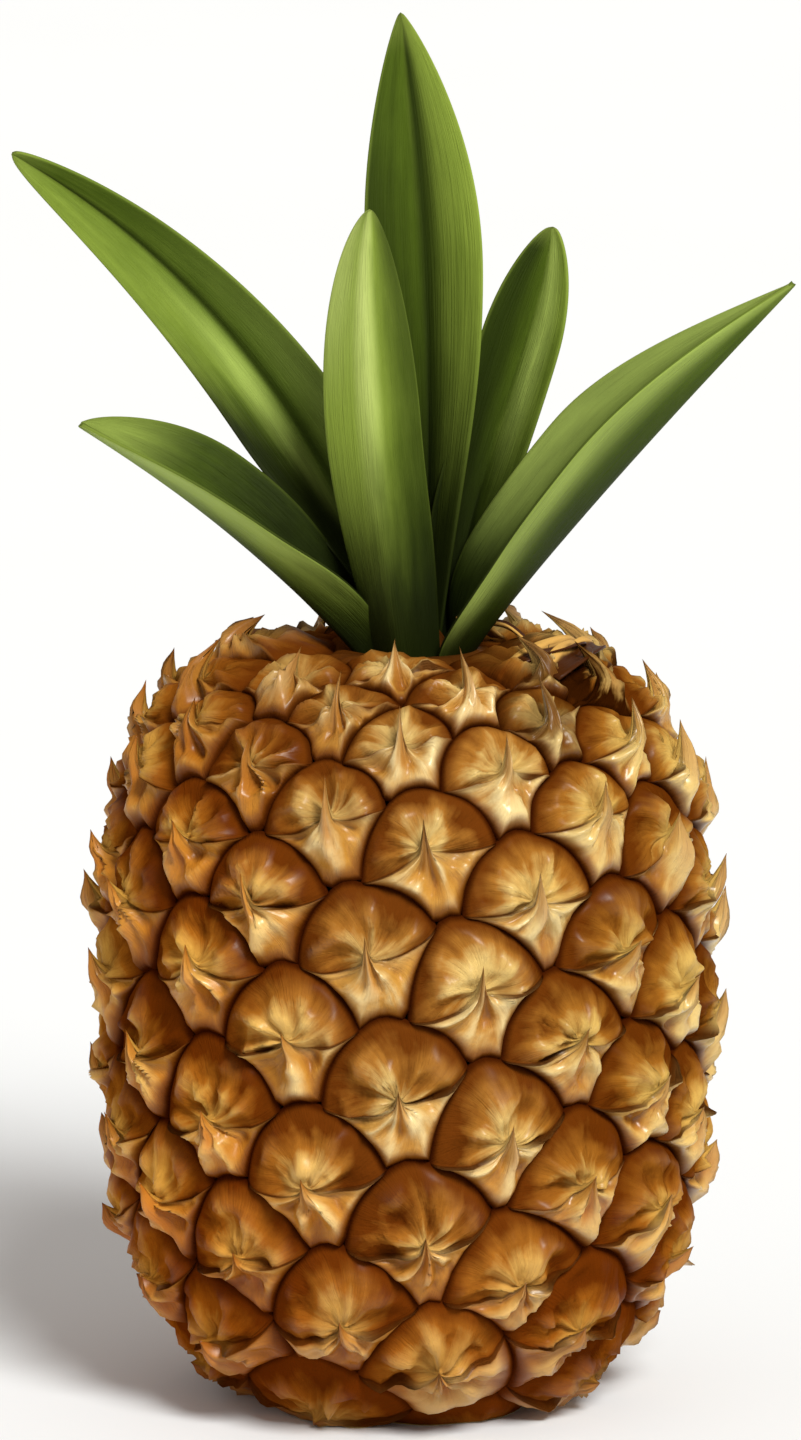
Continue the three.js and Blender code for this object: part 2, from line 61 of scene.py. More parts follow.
class Band(Enum):
    """The rind is kept as three pieces, from the cut base up to the crown."""

    LOWER = "rind_lower"
    MIDDLE = "rind_middle"
    UPPER = "rind_upper"


class Seed(IntEnum):
    """The seeds of the unevenness; the first two settle where each eye of the front sits."""

    AZIMUTH = 38740
    HEIGHT = 24870
    TIP_OUT = 3
    TIP_UP = 4
    BULGE = 5
    TIP_DROP = 6
    TINT = 7
    SWAY = 8
    SCALLOP = 9


def paint(red: int, green: int, blue: int) -> Tone:
    """A display colour from 0 to 255 as the linear colour that shaders take.

    Args:
        red: red as seen on a display.
        green: green as seen on a display.
        blue: blue as seen on a display.

    Returns:
        The linear colour with full opacity.
    """

    def linear(value: int) -> float:
        """One channel made linear, by the usual rule for displays."""
        share = value / 255
        return share / 12.92 if share <= 0.04045 else ((share + 0.055) / 1.055) ** 2.4

    return (linear(red), linear(green), linear(blue), 1.0)


def scatter(number: int, channel: int) -> float:
    """Repeatable noise from -1 to 1, the same as the solids use.

    Args:
        number: the whole number of the eye or piece.
        channel: which of its properties is varied.

    Returns:
        A number from -1 to 1.
    """
    value = math.sin(number * 12.9898 + channel * 78.233) * 43758.5453
    return 2 * (value - math.floor(value)) - 1


def ease(value: np.ndarray, low: float, high: float) -> np.ndarray:
    """Rises smoothly from 0 at low to 1 at high; low may be the larger one."""
    share = np.clip((value - low) / (high - low), 0, 1)
    return share * share * (3 - 2 * share)


def make_active(piece: bpy.types.Object) -> None:
    """Leaves edit mode, selects one object alone and makes it the active one.

    Args:
        piece: the object.
    """
    if bpy.context.object and bpy.context.object.mode != "OBJECT":
        bpy.ops.object.mode_set(mode="OBJECT")
    bpy.ops.object.select_all(action="DESELECT")
    piece.select_set(True)
    bpy.context.view_layer.objects.active = piece


def select_vertices(piece: bpy.types.Object, wanted: Callable[[np.ndarray], np.ndarray]) -> None:
    """Selects vertices by their place and leaves the piece in edit mode.

    Args:
        piece: the object to work on.
        wanted: takes the places as rows of x, y, z and returns which are wanted.
    """
    make_active(piece)
    bpy.ops.object.mode_set(mode="EDIT")
    bpy.ops.mesh.select_all(action="DESELECT")
    bpy.ops.object.mode_set(mode="OBJECT")
    mask = wanted(places_of(piece.data))
    piece.data.vertices.foreach_set("select", mask.astype(bool))
    edges = np.empty(len(piece.data.edges) * 2, dtype=np.int32)
    piece.data.edges.foreach_get("vertices", edges)
    piece.data.edges.foreach_set("select", mask[edges.reshape(-1, 2)].all(axis=1))
    bpy.ops.object.mode_set(mode="EDIT")


def places_of(mesh: bpy.types.Mesh) -> np.ndarray:
    """Reads the mesh's vertices.

    Args:
        mesh: the mesh.

    Returns:
        Their places as rows of x, y, z.
    """
    places = np.empty(len(mesh.vertices) * 3, dtype=np.float32)
    mesh.vertices.foreach_get("co", places)
    return places.reshape(-1, 3).astype(float)


def set_places(mesh: bpy.types.Mesh, places: np.ndarray) -> None:
    """Moves the mesh's vertices to rows of x, y, z."""
    mesh.vertices.foreach_set("co", places.astype(np.float32).ravel())
    mesh.update()


def set_measure(mesh: bpy.types.Mesh, name: str, values: np.ndarray) -> None:
    """Stores what each vertex holds under a name that materials can read.

    Args:
        mesh: the mesh.
        name: the name that the materials ask for.
        values: one number, or a row of three, for each vertex.
    """
    kind = "FLOAT_VECTOR" if values.ndim == 2 else "FLOAT"
    layer = mesh.attributes.new(name, kind, "POINT")
    layer.data.foreach_set("vector" if values.ndim == 2 else "value", values.astype(np.float32).ravel())


def finish_piece(piece: bpy.types.Object, name: str, replaced: tuple[str, ...]) -> None:
    """Names a finished piece, seats it on the fruit's body and reports it.

    Args:
        piece: the finished object.
        name: its name in the scene.
        replaced: the solids that it stands for.
    """
    piece.name = name
    piece.data.name = name
    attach(piece, BODY)
    if replaced:
        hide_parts(*replaced)
    LOG.info("%s: %d faces", name, len(piece.data.polygons))


class Signal:
    """A shader socket that can stand in a sum, a difference or a product."""

    def __init__(self, sheet: "Sheet", socket: Socket) -> None:
        """Wraps a socket of a sheet's node tree."""
        self.sheet = sheet
        self.socket = socket

    def _math(self, operation: str, first: Any, second: Any) -> "Signal":
        """One Math node on two values or signals."""
        made = self.sheet.node("ShaderNodeMath", {"operation": operation}, {0: first, 1: second})
        return Signal(self.sheet, made.outputs[0])

    def __add__(self, other: Any) -> "Signal":
        """This plus another."""
        return self._math("ADD", self, other)

    __radd__ = __add__

    def __mul__(self, other: Any) -> "Signal":
        """This times another."""
        return self._math("MULTIPLY", self, other)

    __rmul__ = __mul__

    def __sub__(self, other: Any) -> "Signal":
        """This less another."""
        return self._math("SUBTRACT", self, other)

    def __rsub__(self, other: Any) -> "Signal":
        """Another less this."""
        return self._math("SUBTRACT", other, self)

    def size(self) -> "Signal":
        """This without its sign."""
        return self._math("ABSOLUTE", self, 0.0)

    def rise(self, low: float, high: float) -> "Signal":
        """Goes smoothly from 0 to 1.

        Args:
            low: where it is 0.
            high: where it is 1; this may be the smaller one.

        Returns:
            The new signal.
        """
        values = {0: self, 1: low, 2: high, 3: 0.0, 4: 1.0}
        made = self.sheet.node("ShaderNodeMapRange", {"interpolation_type": "SMOOTHSTEP"}, values)
        return Signal(self.sheet, made.outputs[0])


class Sheet:
    """One material's node tree, and short ways to fill it."""

    def __init__(self, name: str) -> None:
        """Starts an empty material.

        Args:
            name: the material's name.
        """
        self.material = bpy.data.materials.new(name)
        self.material.use_nodes = True
        self.tree = self.material.node_tree
        self.tree.nodes.clear()

    def node(self, kind: str, settings: dict[str, Any], sockets: dict[Any, Any]) -> bpy.types.Node:
        """Adds a node.

        Args:
            kind: the node's type name.
            settings: its own properties, set before its sockets; "stops" fills a colour ramp.
            sockets: values, signals or sockets for its inputs, by name or place.

        Returns:
            The new node.
        """
        made = self.tree.nodes.new(kind)
        for key, value in settings.items():
            if key == "stops":
                self._fill_ramp(made.color_ramp, value)
            else:
                setattr(made, key, value)
        for key, value in sockets.items():
            if isinstance(value, Signal):
                self.tree.links.new(value.socket, made.inputs[key])
            elif isinstance(value, Socket):
                self.tree.links.new(value, made.inputs[key])
            else:
                made.inputs[key].default_value = value
        return made

    @staticmethod
    def _fill_ramp(ramp: bpy.types.ColorRamp, stops: list[tuple[float, Tone]]) -> None:
        """Gives a ramp its stops.

        Args:
            ramp: the new node's ramp.
            stops: places from 0 to 1 and their colours, in rising order.
        """
        while len(ramp.elements) < len(stops):
            ramp.elements.new(1.0)
        for element, (place, tone) in zip(ramp.elements, stops):
            element.position = place
            element.color = tone

    def measure(self, name: str) -> Signal:
        """The number that the piece's mesh holds under a name."""
        made = self.node("ShaderNodeAttribute", {"attribute_name": name}, {})
        return Signal(self, made.outputs["Fac"])

    def track(self, name: str) -> Socket:
        """The vector that the piece's mesh holds under a name."""
        return self.node("ShaderNodeAttribute", {"attribute_name": name}, {}).outputs["Vector"]

    def place(self) -> Socket:
        """The place on the object, in metres."""
        return self.node("ShaderNodeTexCoord", {}, {}).outputs["Object"]

    def parts(self, vector: Socket) -> list[Signal]:
        """A vector's three numbers."""
        split = self.node("ShaderNodeSeparateXYZ", {}, {0: vector})
        return [Signal(self, output) for output in split.outputs]

    def stretch(self, vector: Socket, scale: Triple) -> Socket:
        """A vector scaled along its own axes."""
        made = self.node("ShaderNodeVectorMath", {"operation": "MULTIPLY"}, {0: vector, 1: scale})
        return made.outputs[0]

    def grain(self, vector: Socket, scale: float, detail: float = 3.0, rough: float = 0.55) -> Signal:
        """Soft noise from 0 to 1.

        Args:
            vector: what it is read on.
            scale: how fine it is.
            detail: how many finer layers it has.
            rough: how strong those layers are.

        Returns:
            The noise.
        """
        sockets = {"Vector": vector, "Scale": scale, "Detail": detail, "Roughness": rough}
        return Signal(self, self.node("ShaderNodeTexNoise", {}, sockets).outputs[0])

    def threads(self, track: Socket, stretch: Triple, detail: float, rough: float) -> Signal:
        """Soft noise drawn out along a track that the mesh holds."""
        return self.grain(self.stretch(track, stretch), 1.0, detail, rough)

    def ramp(self, amount: Signal, stops: list[tuple[float, Tone]]) -> Socket:
        """A colour read from a ramp."""
        return self.node("ShaderNodeValToRGB", {"stops": stops}, {0: amount}).outputs[0]

    def blend(self, amount: Any, first: Any, second: Any, mode: str = "MIX") -> Socket:
        """Two colours mixed.

        Args:
            amount: how much of the second one comes in.
            first: the colour below.
            second: the colour above.
            mode: how they meet, as a Mix node names it.

        Returns:
            The mixed colour.
        """
        settings = {"data_type": "RGBA", "blend_type": mode, "clamp_factor": True}
        return self.node("ShaderNodeMix", settings, {0: amount, 6: first, 7: second}).outputs[2]

    def bump(self, height: Signal, depth: float) -> Socket:
        """A normal from a height of 0 to 1, whose full depth is in metres."""
        sockets = {"Height": height, "Strength": 1.0, "Distance": depth}
        return self.node("ShaderNodeBump", {}, sockets).outputs[0]

    def surface(self, sockets: dict[str, Any]) -> bpy.types.Material:
        """Ends the tree with a surface shader.

        Args:
            sockets: values and links for the shader's sockets by name.

        Returns:
            The finished material.
        """
        shader = self.node("ShaderNodeBsdfPrincipled", {}, sockets)
        self.node("ShaderNodeOutputMaterial", {}, {"Surface": shader.outputs[0]})
        return self.material


@dataclass(frozen=True)
class RindFinish:
    """Waxy brown caps, golden papery bracts and dark grooves, with painted highlights and painted shade.

    The spans ending in across and up say between which places, in metres, something comes in: from none at
    the first to all at the second, which may be the smaller one.
    """

    groove: Tone = paint(62, 24, 3)
    dry: Tone = paint(50, 22, 3)
    cap_rim: Tone = paint(98, 50, 11)
    cap_body: Tone = paint(158, 106, 42)
    cap_heart: Tone = paint(216, 184, 114)
    bract_foot: Tone = paint(142, 86, 26)
    bract_body: Tone = paint(188, 136, 56)
    bract_pale_and_highlight: Tone = paint(230, 207, 150)
    ridge: Tone = paint(184, 116, 44)
    lip: Tone = paint(232, 203, 134)
    crevice: Tone = paint(100, 50, 12)
    cut: Tone = paint(205, 176, 118)
    seat: Tone = paint(74, 40, 10)
    left_shade: Tone = (0.94, 0.72, 0.37, 1.0)
    right_shade: Tone = (0.86, 0.78, 0.55, 1.0)
    foot_shade: Tone = (1.0, 0.77, 0.47, 1.0)
    streak_stretch: Triple = (3.4, 1.2, 1.0)
    thread_stretch: Triple = (34.0, 2.4, 1.0)
    blotch_scale: float = 70.0
    speckle_scale: float = 900.0
    left_shade_across: Span = (0.0, -0.045)
    right_shade_across: Span = (0.01, 0.045)
    shine_across: Span = (0.0, 0.04)
    shaded_up: Span = (0.11, 0.15)
    shaded_across: Span = (0.02, -0.03)
    low_shade_up: Span = (0.06, 0.0)
    foot_up: Span = (0.08, 0.01)
    cut_up: Span = (0.0004, 0.0001)
    relief: float = 0.9 * MM

    def material(self) -> bpy.types.Material:
        """Builds the rind's material from the measures that each fruitlet's mesh holds.

        Returns:
            The material.
        """
        sheet = Sheet("rind_wax")
        reach = sheet.measure("reach")
        bract = sheet.measure("bract")
        crease = sheet.measure("crease")
        ridge = sheet.measure("ridge")
        tint = sheet.measure("tint")
        folds = sheet.measure("folds")
        edge = sheet.measure("edge")
        withered = sheet.measure("withered")
        fibre = sheet.track("fibre")
        place = sheet.place()
        side, _, height = sheet.parts(place)
        streaks = sheet.threads(fibre, self.streak_stretch, 3.5, 0.5)
        threads = sheet.threads(fibre, self.thread_stretch, 3.0, 0.6)
        blotches = sheet.grain(place, self.blotch_scale, 4.0, 0.6)
        speckle = sheet.grain(place, self.speckle_scale, 3.0, 0.6)

        # Cap: pale heart to dark rim on a wandering border, and a painted highlight on the fold crests.
        wander = reach + (streaks - 0.5) * 0.7 + (blotches - 0.5) * 0.9 - tint * 0.16 - folds * 0.25
        stops = [(0.16, self.cap_heart), (0.54, self.cap_body), (0.92, self.cap_rim)]
        cap = sheet.ramp(wander, stops)

        # The bract is papery, with a painted highlight on its fold crests and on the right side.
        pale = streaks * 0.5 + blotches * 0.5 + tint * 0.06 + folds * 0.25 + side * 2.0
        body = sheet.blend(pale.rise(0.42, 0.78), self.bract_body, self.bract_pale_and_highlight)
        # Painted shade in its fold hollows, among random streaks, and at its foot by the groove.
        fold_shade_and_mottle = folds * 0.4 + (streaks - 0.5) + (blotches - 0.5)
        body = sheet.blend(fold_shade_and_mottle.rise(0.0, -0.5) * 0.8, body, self.bract_foot)
        body = sheet.blend(reach.rise(0.7, 0.98) * 0.8, body, self.bract_foot)
        body = sheet.blend(ridge * 0.55, body, self.ridge)
        # A painted highlight along the lip.
        body = sheet.blend(edge * 0.45, body, self.lip)

        # The two halves meet in a crease of painted shade, and end in a dark groove that is partly painted
        # shade.
        colour = sheet.blend(bract, cap, body)
        colour = sheet.blend(crease * 0.9, colour, self.crevice)
        colour = sheet.blend((threads - 0.5).size() * 0.15, colour, self.cap_rim)
        # A wider band of painted shade beside the groove.
        colour = sheet.blend(reach.rise(0.72, 0.95) * 0.8, colour, self.cap_rim)
        colour = sheet.blend(reach.rise(0.9, 0.98), colour, self.groove)

        # A few eyes are withered, and the crown's seat is one plain brown.
        dark = withered * (streaks + blotches + folds * 0.3).rise(1.25, 0.95)
        colour = sheet.blend(withered * 0.4, colour, self.cap_rim)
        colour = sheet.blend(dark, colour, self.dry)
        colour = sheet.blend(sheet.measure("seat"), colour, self.seat)

        # Painted shade deepens the left side, the sunlit right side and the upper left shoulder.
        colour = sheet.blend(side.rise(*self.left_shade_across), colour, self.left_shade, "MULTIPLY")
        colour = sheet.blend(side.rise(*self.right_shade_across), colour, self.right_shade, "MULTIPLY")
        shaded = height.rise(*self.shaded_up) * side.rise(*self.shaded_across) * 0.4
        colour = sheet.blend(shaded, colour, self.cap_rim)
        # Painted shade darkens the lower part and makes the foot deeper and warmer; the fruit is pale where
        # cut.
        colour = sheet.blend(height.rise(*self.low_shade_up) * 0.4, colour, self.cap_rim)
        colour = sheet.blend(height.rise(*self.foot_up), colour, self.foot_shade, "MULTIPLY")
        colour = sheet.blend(height.rise(*self.cut_up), colour, self.cut)

        shine = bract * (side.rise(*self.shine_across) * 0.5 + 0.4) + folds.rise(0.0, 0.7) * 0.4
        sockets = {
            "Base Color": colour,
            "Roughness": 0.42 + streaks * 0.16 + reach.rise(0.7, 0.95) * 0.4 + crease * 0.3,
            "Normal": sheet.bump(streaks * 0.5 + threads * 0.3 + speckle * 0.2, self.relief),
            "Specular IOR Level": 0.0,
            "Coat Weight": shine * reach.rise(1.0, 0.8) * (1 - crease) * (1 - withered),
            "Coat Roughness": 0.3,
        }
        return sheet.surface(sockets)


@dataclass(frozen=True)
class Streak:
    """A soft stripe along a leaf, which the finishes use for painted highlights and painted shadows.

    Its centre and width are shares of the leaf's half width. It comes in between two shares of the leaf's
    length, of which the first may be the larger.
    """

    centre: float = 0.0
    width: float = 0.2
    strength: float = 0.0
    reach: Span = (-0.1, 0.0)

    def on(self, across: Signal, along: Signal) -> Signal:
        """How strong the stripe is at a place on the leaf."""
        stripe = (across - self.centre).size().rise(self.width, 0.0)
        return stripe * along.rise(*self.reach) * self.strength


@dataclass(frozen=True)
class LeafFinish:
    """Smooth waxy leaf, yellow green towards the tip and nearly black green with painted shade at the foot.

    Painted light makes one half lighter: the one on the positive side, or the other one where it is
    negative.
    The painted shade at the foot ends at a share of the length, which leans to one side, and the pale tip
    begins at another share. Stripes of painted highlight and painted shade lie along the leaf, and its
    edges carry a painted highlight.
    """

    painted_highlights: tuple[Streak, ...] = ()
    shadows: tuple[Streak, ...] = ()
    lit_half: float = 0.0
    tone_and_painted_light: float = 0.0
    foot_shade_to: float = 0.5
    foot_shade_lean: float = 0.0
    tip_from: float = 0.93
    foot: Tone = paint(18, 24, 5)
    shade: Tone = paint(38, 50, 10)
    body: Tone = paint(78, 98, 25)
    light: Tone = paint(130, 151, 58)
    painted_highlight: Tone = paint(174, 196, 100)
    tip: Tone = paint(132, 150, 66)
    edge: Tone = paint(132, 152, 62)
    vein_stretch: Triple = (40.0, 1.2, 1.0)
    brush_stretch: Triple = (5.0, 1.0, 1.0)
    mottle_scale: float = 45.0
    relief: float = 0.3 * MM

    def material(self) -> bpy.types.Material:
        """Builds the finish of one face of one leaf, from the measures that its mesh holds.

        Returns:
            The material.
        """
        sheet = Sheet("leaf_wax")
        along = sheet.measure("along")
        across = sheet.measure("across")
        run = sheet.track("run")
        mottle = sheet.grain(sheet.place(), self.mottle_scale, 4.0, 0.6)
        veins = sheet.threads(run, self.vein_stretch, 3.0, 0.6)
        brush = sheet.threads(run, self.brush_stretch, 3.0, 0.5)
        # Painted light: one half lighter, and the face lighter or darker as a whole, over brush marks and
        # mottle.
        half = (across * self.lit_half).rise(-0.5, 0.5) * abs(self.lit_half)
        level = 0.3 + self.tone_and_painted_light + half * 0.55 + (brush - 0.5) * 0.35
        level = level + (mottle - 0.5) * 0.25 + along * 0.25
        colour = sheet.ramp(level, [(0.05, self.shade), (0.42, self.body), (0.85, self.light)])
        # Stripes of painted highlight, then stripes of painted shadow.
        for painted_highlight in self.painted_highlights:
            colour = sheet.blend(painted_highlight.on(across, along) * (0.6 + brush * 0.8), colour, self.painted_highlight)
        for shadow in self.shadows:
            colour = sheet.blend(shadow.on(across, along), colour, self.shade)
        # A painted highlight along the edges.
        colour = sheet.blend(across.size().rise(0.93, 1.0) * 0.3, colour, self.edge)
        colour = sheet.blend(along.rise(self.tip_from, 1.0) * 0.5, colour, self.tip)
        colour = sheet.blend((veins - 0.5).size() * 0.16, colour, self.shade)
        # Painted shade at the foot, nearly black green, where the leaves crowd together.
        fade = along + across * self.foot_shade_lean + (brush - 0.5) * 0.12 + (mottle - 0.5) * 0.06
        colour = sheet.blend(fade.rise(self.foot_shade_to, self.foot_shade_to * 0.2) * 0.95, colour, self.foot)
        sockets = {
            "Base Color": colour,
            "Roughness": 0.42 + brush * 0.14,
            "Normal": sheet.bump(veins * 0.8 + mottle * 0.2, self.relief),
            "Specular IOR Level": 0.05,
        }
        return sheet.surface(sockets)


@dataclass(frozen=True)
class PlainFinish:
    """One nearly even colour, for the floor and for what lies hidden under the rind."""

    name: str
    tone: Tone
    roughness: float = 0.8
    darker: float = 0.97
    cloud_scale: float = 3.0

    def material(self) -> bpy.types.Material:
        """Builds the plain material, with a very faint unevenness.

        Returns:
            The material.
        """
        sheet = Sheet(self.name)
        cloud = sheet.grain(sheet.place(), self.cloud_scale)
        darker = tuple(self.darker * channel for channel in self.tone[:3]) + (1.0,)
        colour = sheet.blend(cloud, darker, self.tone)
        return sheet.surface({"Base Color": colour, "Roughness": self.roughness})


@dataclass
class Barrel:
    """The fruit's body of revolution over the tops of the eyes, in millimetres.

    Its outline is kept from the lower pole to the upper one as radius, height, running length, height on a
    map that keeps angles true, and how many eyes have room so far. Crowding is how many more eyes share an
    area towards the crown, or fewer towards the foot, where it is negative.
    """

    radius: float = 61.5
    widest_height: float = 82.0
    shoulder_rise: float = 74.0
    shoulder_power: float = 3.3
    foot_drop: float = 87.0
    foot_power: float = 2.7
    dish: float = 3.5
    dish_radius: float = 14.0
    eye_area: float = 530.0
    top_crowding: float = 0.95
    top_crowding_from: float = 95.0
    top_crowding_reach: float = 60.0
    foot_crowding: float = -0.5
    foot_crowding_from: float = 45.0
    centre: Span = (1.1, 0.7)
    slope_reach: float = 3.0
    least_girth: float = 0.05
    near_pole: float = 0.999999
    steps: int = 800
    line: dict[str, np.ndarray] = field(init=False, repr=False)

    def __post_init__(self) -> None:
        """Works out the outline from its lower pole to its upper one."""
        angle = np.linspace(-math.pi / 2, math.pi / 2, self.steps + 1)
        upper = angle > 0
        power = np.where(upper, self.shoulder_power, self.foot_power)
        reach = np.where(upper, self.shoulder_rise, self.foot_drop)
        r = self.radius * np.clip(np.cos(angle), 0, None) ** (2 / power)
        rise = np.sign(angle) * reach * np.abs(np.sin(angle)) ** (2 / power)
        z = self.widest_height + rise - upper * self.dish * np.exp(-((r / self.dish_radius) ** 2))
        step = np.hypot(np.diff(r), np.diff(z))
        girth = np.maximum((r[1:] + r[:-1]) / 2, self.least_girth)
        height = (z[1:] + z[:-1]) / 2
        top = np.clip((height - self.top_crowding_from) / self.top_crowding_reach, 0, 1)
        foot = np.clip(1 - height / self.foot_crowding_from, 0, 1)
        crowding = 1 + self.top_crowding * top**2 + self.foot_crowding * foot**2

        def running(parts: np.ndarray) -> np.ndarray:
            """The running sum, from 0."""
            return np.concatenate([[0.0], np.cumsum(parts)])

        self.line = {
            "r": r,
            "z": z,
            "arc": running(step),
            "map_height": running(step / girth),
            "eyes": running(TURN * girth * step * crowding / self.eye_area),
        }

    @property
    def top(self) -> float:
        """The height of the upper pole over its dish."""
        return self.widest_height + self.shoulder_rise

    @property
    def equator(self) -> float:
        """The map's height at the widest level."""
        return float(self.line["map_height"][self.steps // 2])

    def at(self, key: str, value: Any, wanted: str) -> np.ndarray:
        """One measure of the outline where another one has a value."""
        return np.interp(value, self.line[key], self.line[wanted])

    def skin(self, azimuth: np.ndarray, arc: np.ndarray, out: Any, up: Any) -> np.ndarray:
        """Places on or off the skin.

        Args:
            azimuth: angles from the front, in radians, growing towards the right.
            arc: lengths along the outline.
            out: how far the places stand out of the skin.
            up: how far they are moved up along it.

        Returns:
            Rows of x, y, z in millimetres.
        """
        low = np.maximum(arc - self.slope_reach, 0)
        high = np.minimum(arc + self.slope_reach, self.line["arc"][-1])
        along_r = self.at("arc", high, "r") - self.at("arc", low, "r")
        along_z = self.at("arc", high, "z") - self.at("arc", low, "z")
        length = np.hypot(along_r, along_z)
        along_r, along_z = along_r / length, along_z / length
        r = self.at("arc", arc, "r") + out * along_z + up * along_r
        z = self.at("arc", arc, "z") - out * along_r + up * along_z
        x = self.centre[0] + r * np.sin(azimuth)
        return np.stack([x, self.centre[1] - r * np.cos(azimuth), z], axis=-1)

    def direction(self, azimuth: float, map_height: float) -> np.ndarray:
        """The direction on a unit sphere that stands for a place on the skin, angles kept true.

        Args:
            azimuth: the angle from the front, in radians.
            map_height: how high up the map the place is.

        Returns:
            A row of x, y, z of length 1.
        """
        latitude = math.asin(math.tanh(map_height - self.equator))
        flat = math.cos(latitude)
        return np.array([flat * math.sin(azimuth), -flat * math.cos(azimuth), math.sin(latitude)])

    def under(self, directions: np.ndarray, out: Any, up: Any) -> np.ndarray:
        """The skin's places under directions of the unit sphere.

        Args:
            directions: rows of x, y, z of any length.
            out: how far the places stand out of the skin.
            up: how far they are moved up along it.

        Returns:
            Rows of x, y, z in millimetres.
        """
        unit = directions / np.linalg.norm(directions, axis=-1, keepdims=True)
        map_height = np.arctanh(np.clip(unit[..., 2], -self.near_pole, self.near_pole)) + self.equator
        azimuth = np.arctan2(unit[..., 0], -unit[..., 1])
        return self.skin(azimuth, self.at("map_height", map_height, "arc"), out, up)


@dataclass
class Eye:
    """One fruitlet's place and its own proportions.

    The direction stands for its place, the bulge is a factor, and the lengths are in millimetres. The
    outline is in its own flat view, where the unit sphere's radius is 1.
    """

    number: int
    direction: np.ndarray
    tip_out: float
    tip_up: float
    bulge: float
    sway: float = 0.0
    corner_angles: np.ndarray = field(default_factory=lambda: np.empty(0))
    outline: np.ndarray = field(default_factory=lambda: np.empty((0, 2)))

    @property
    def is_seat(self) -> bool:
        """Whether this is the seat of the crown, which has no tip."""
        return self.tip_out == 0

    @property
    def axes(self) -> tuple[np.ndarray, np.ndarray]:
        """Two directions along the unit sphere at the eye.

        Returns:
            East, which is to the right seen from outside, and north, which is up.
        """
        x, y, _ = self.direction
        if math.hypot(x, y) < 1e-6:
            east = np.array([1.0, 0.0, 0.0])
        else:
            east = np.array([-y, x, 0.0]) / math.hypot(x, y)
        return east, np.cross(self.direction, east)


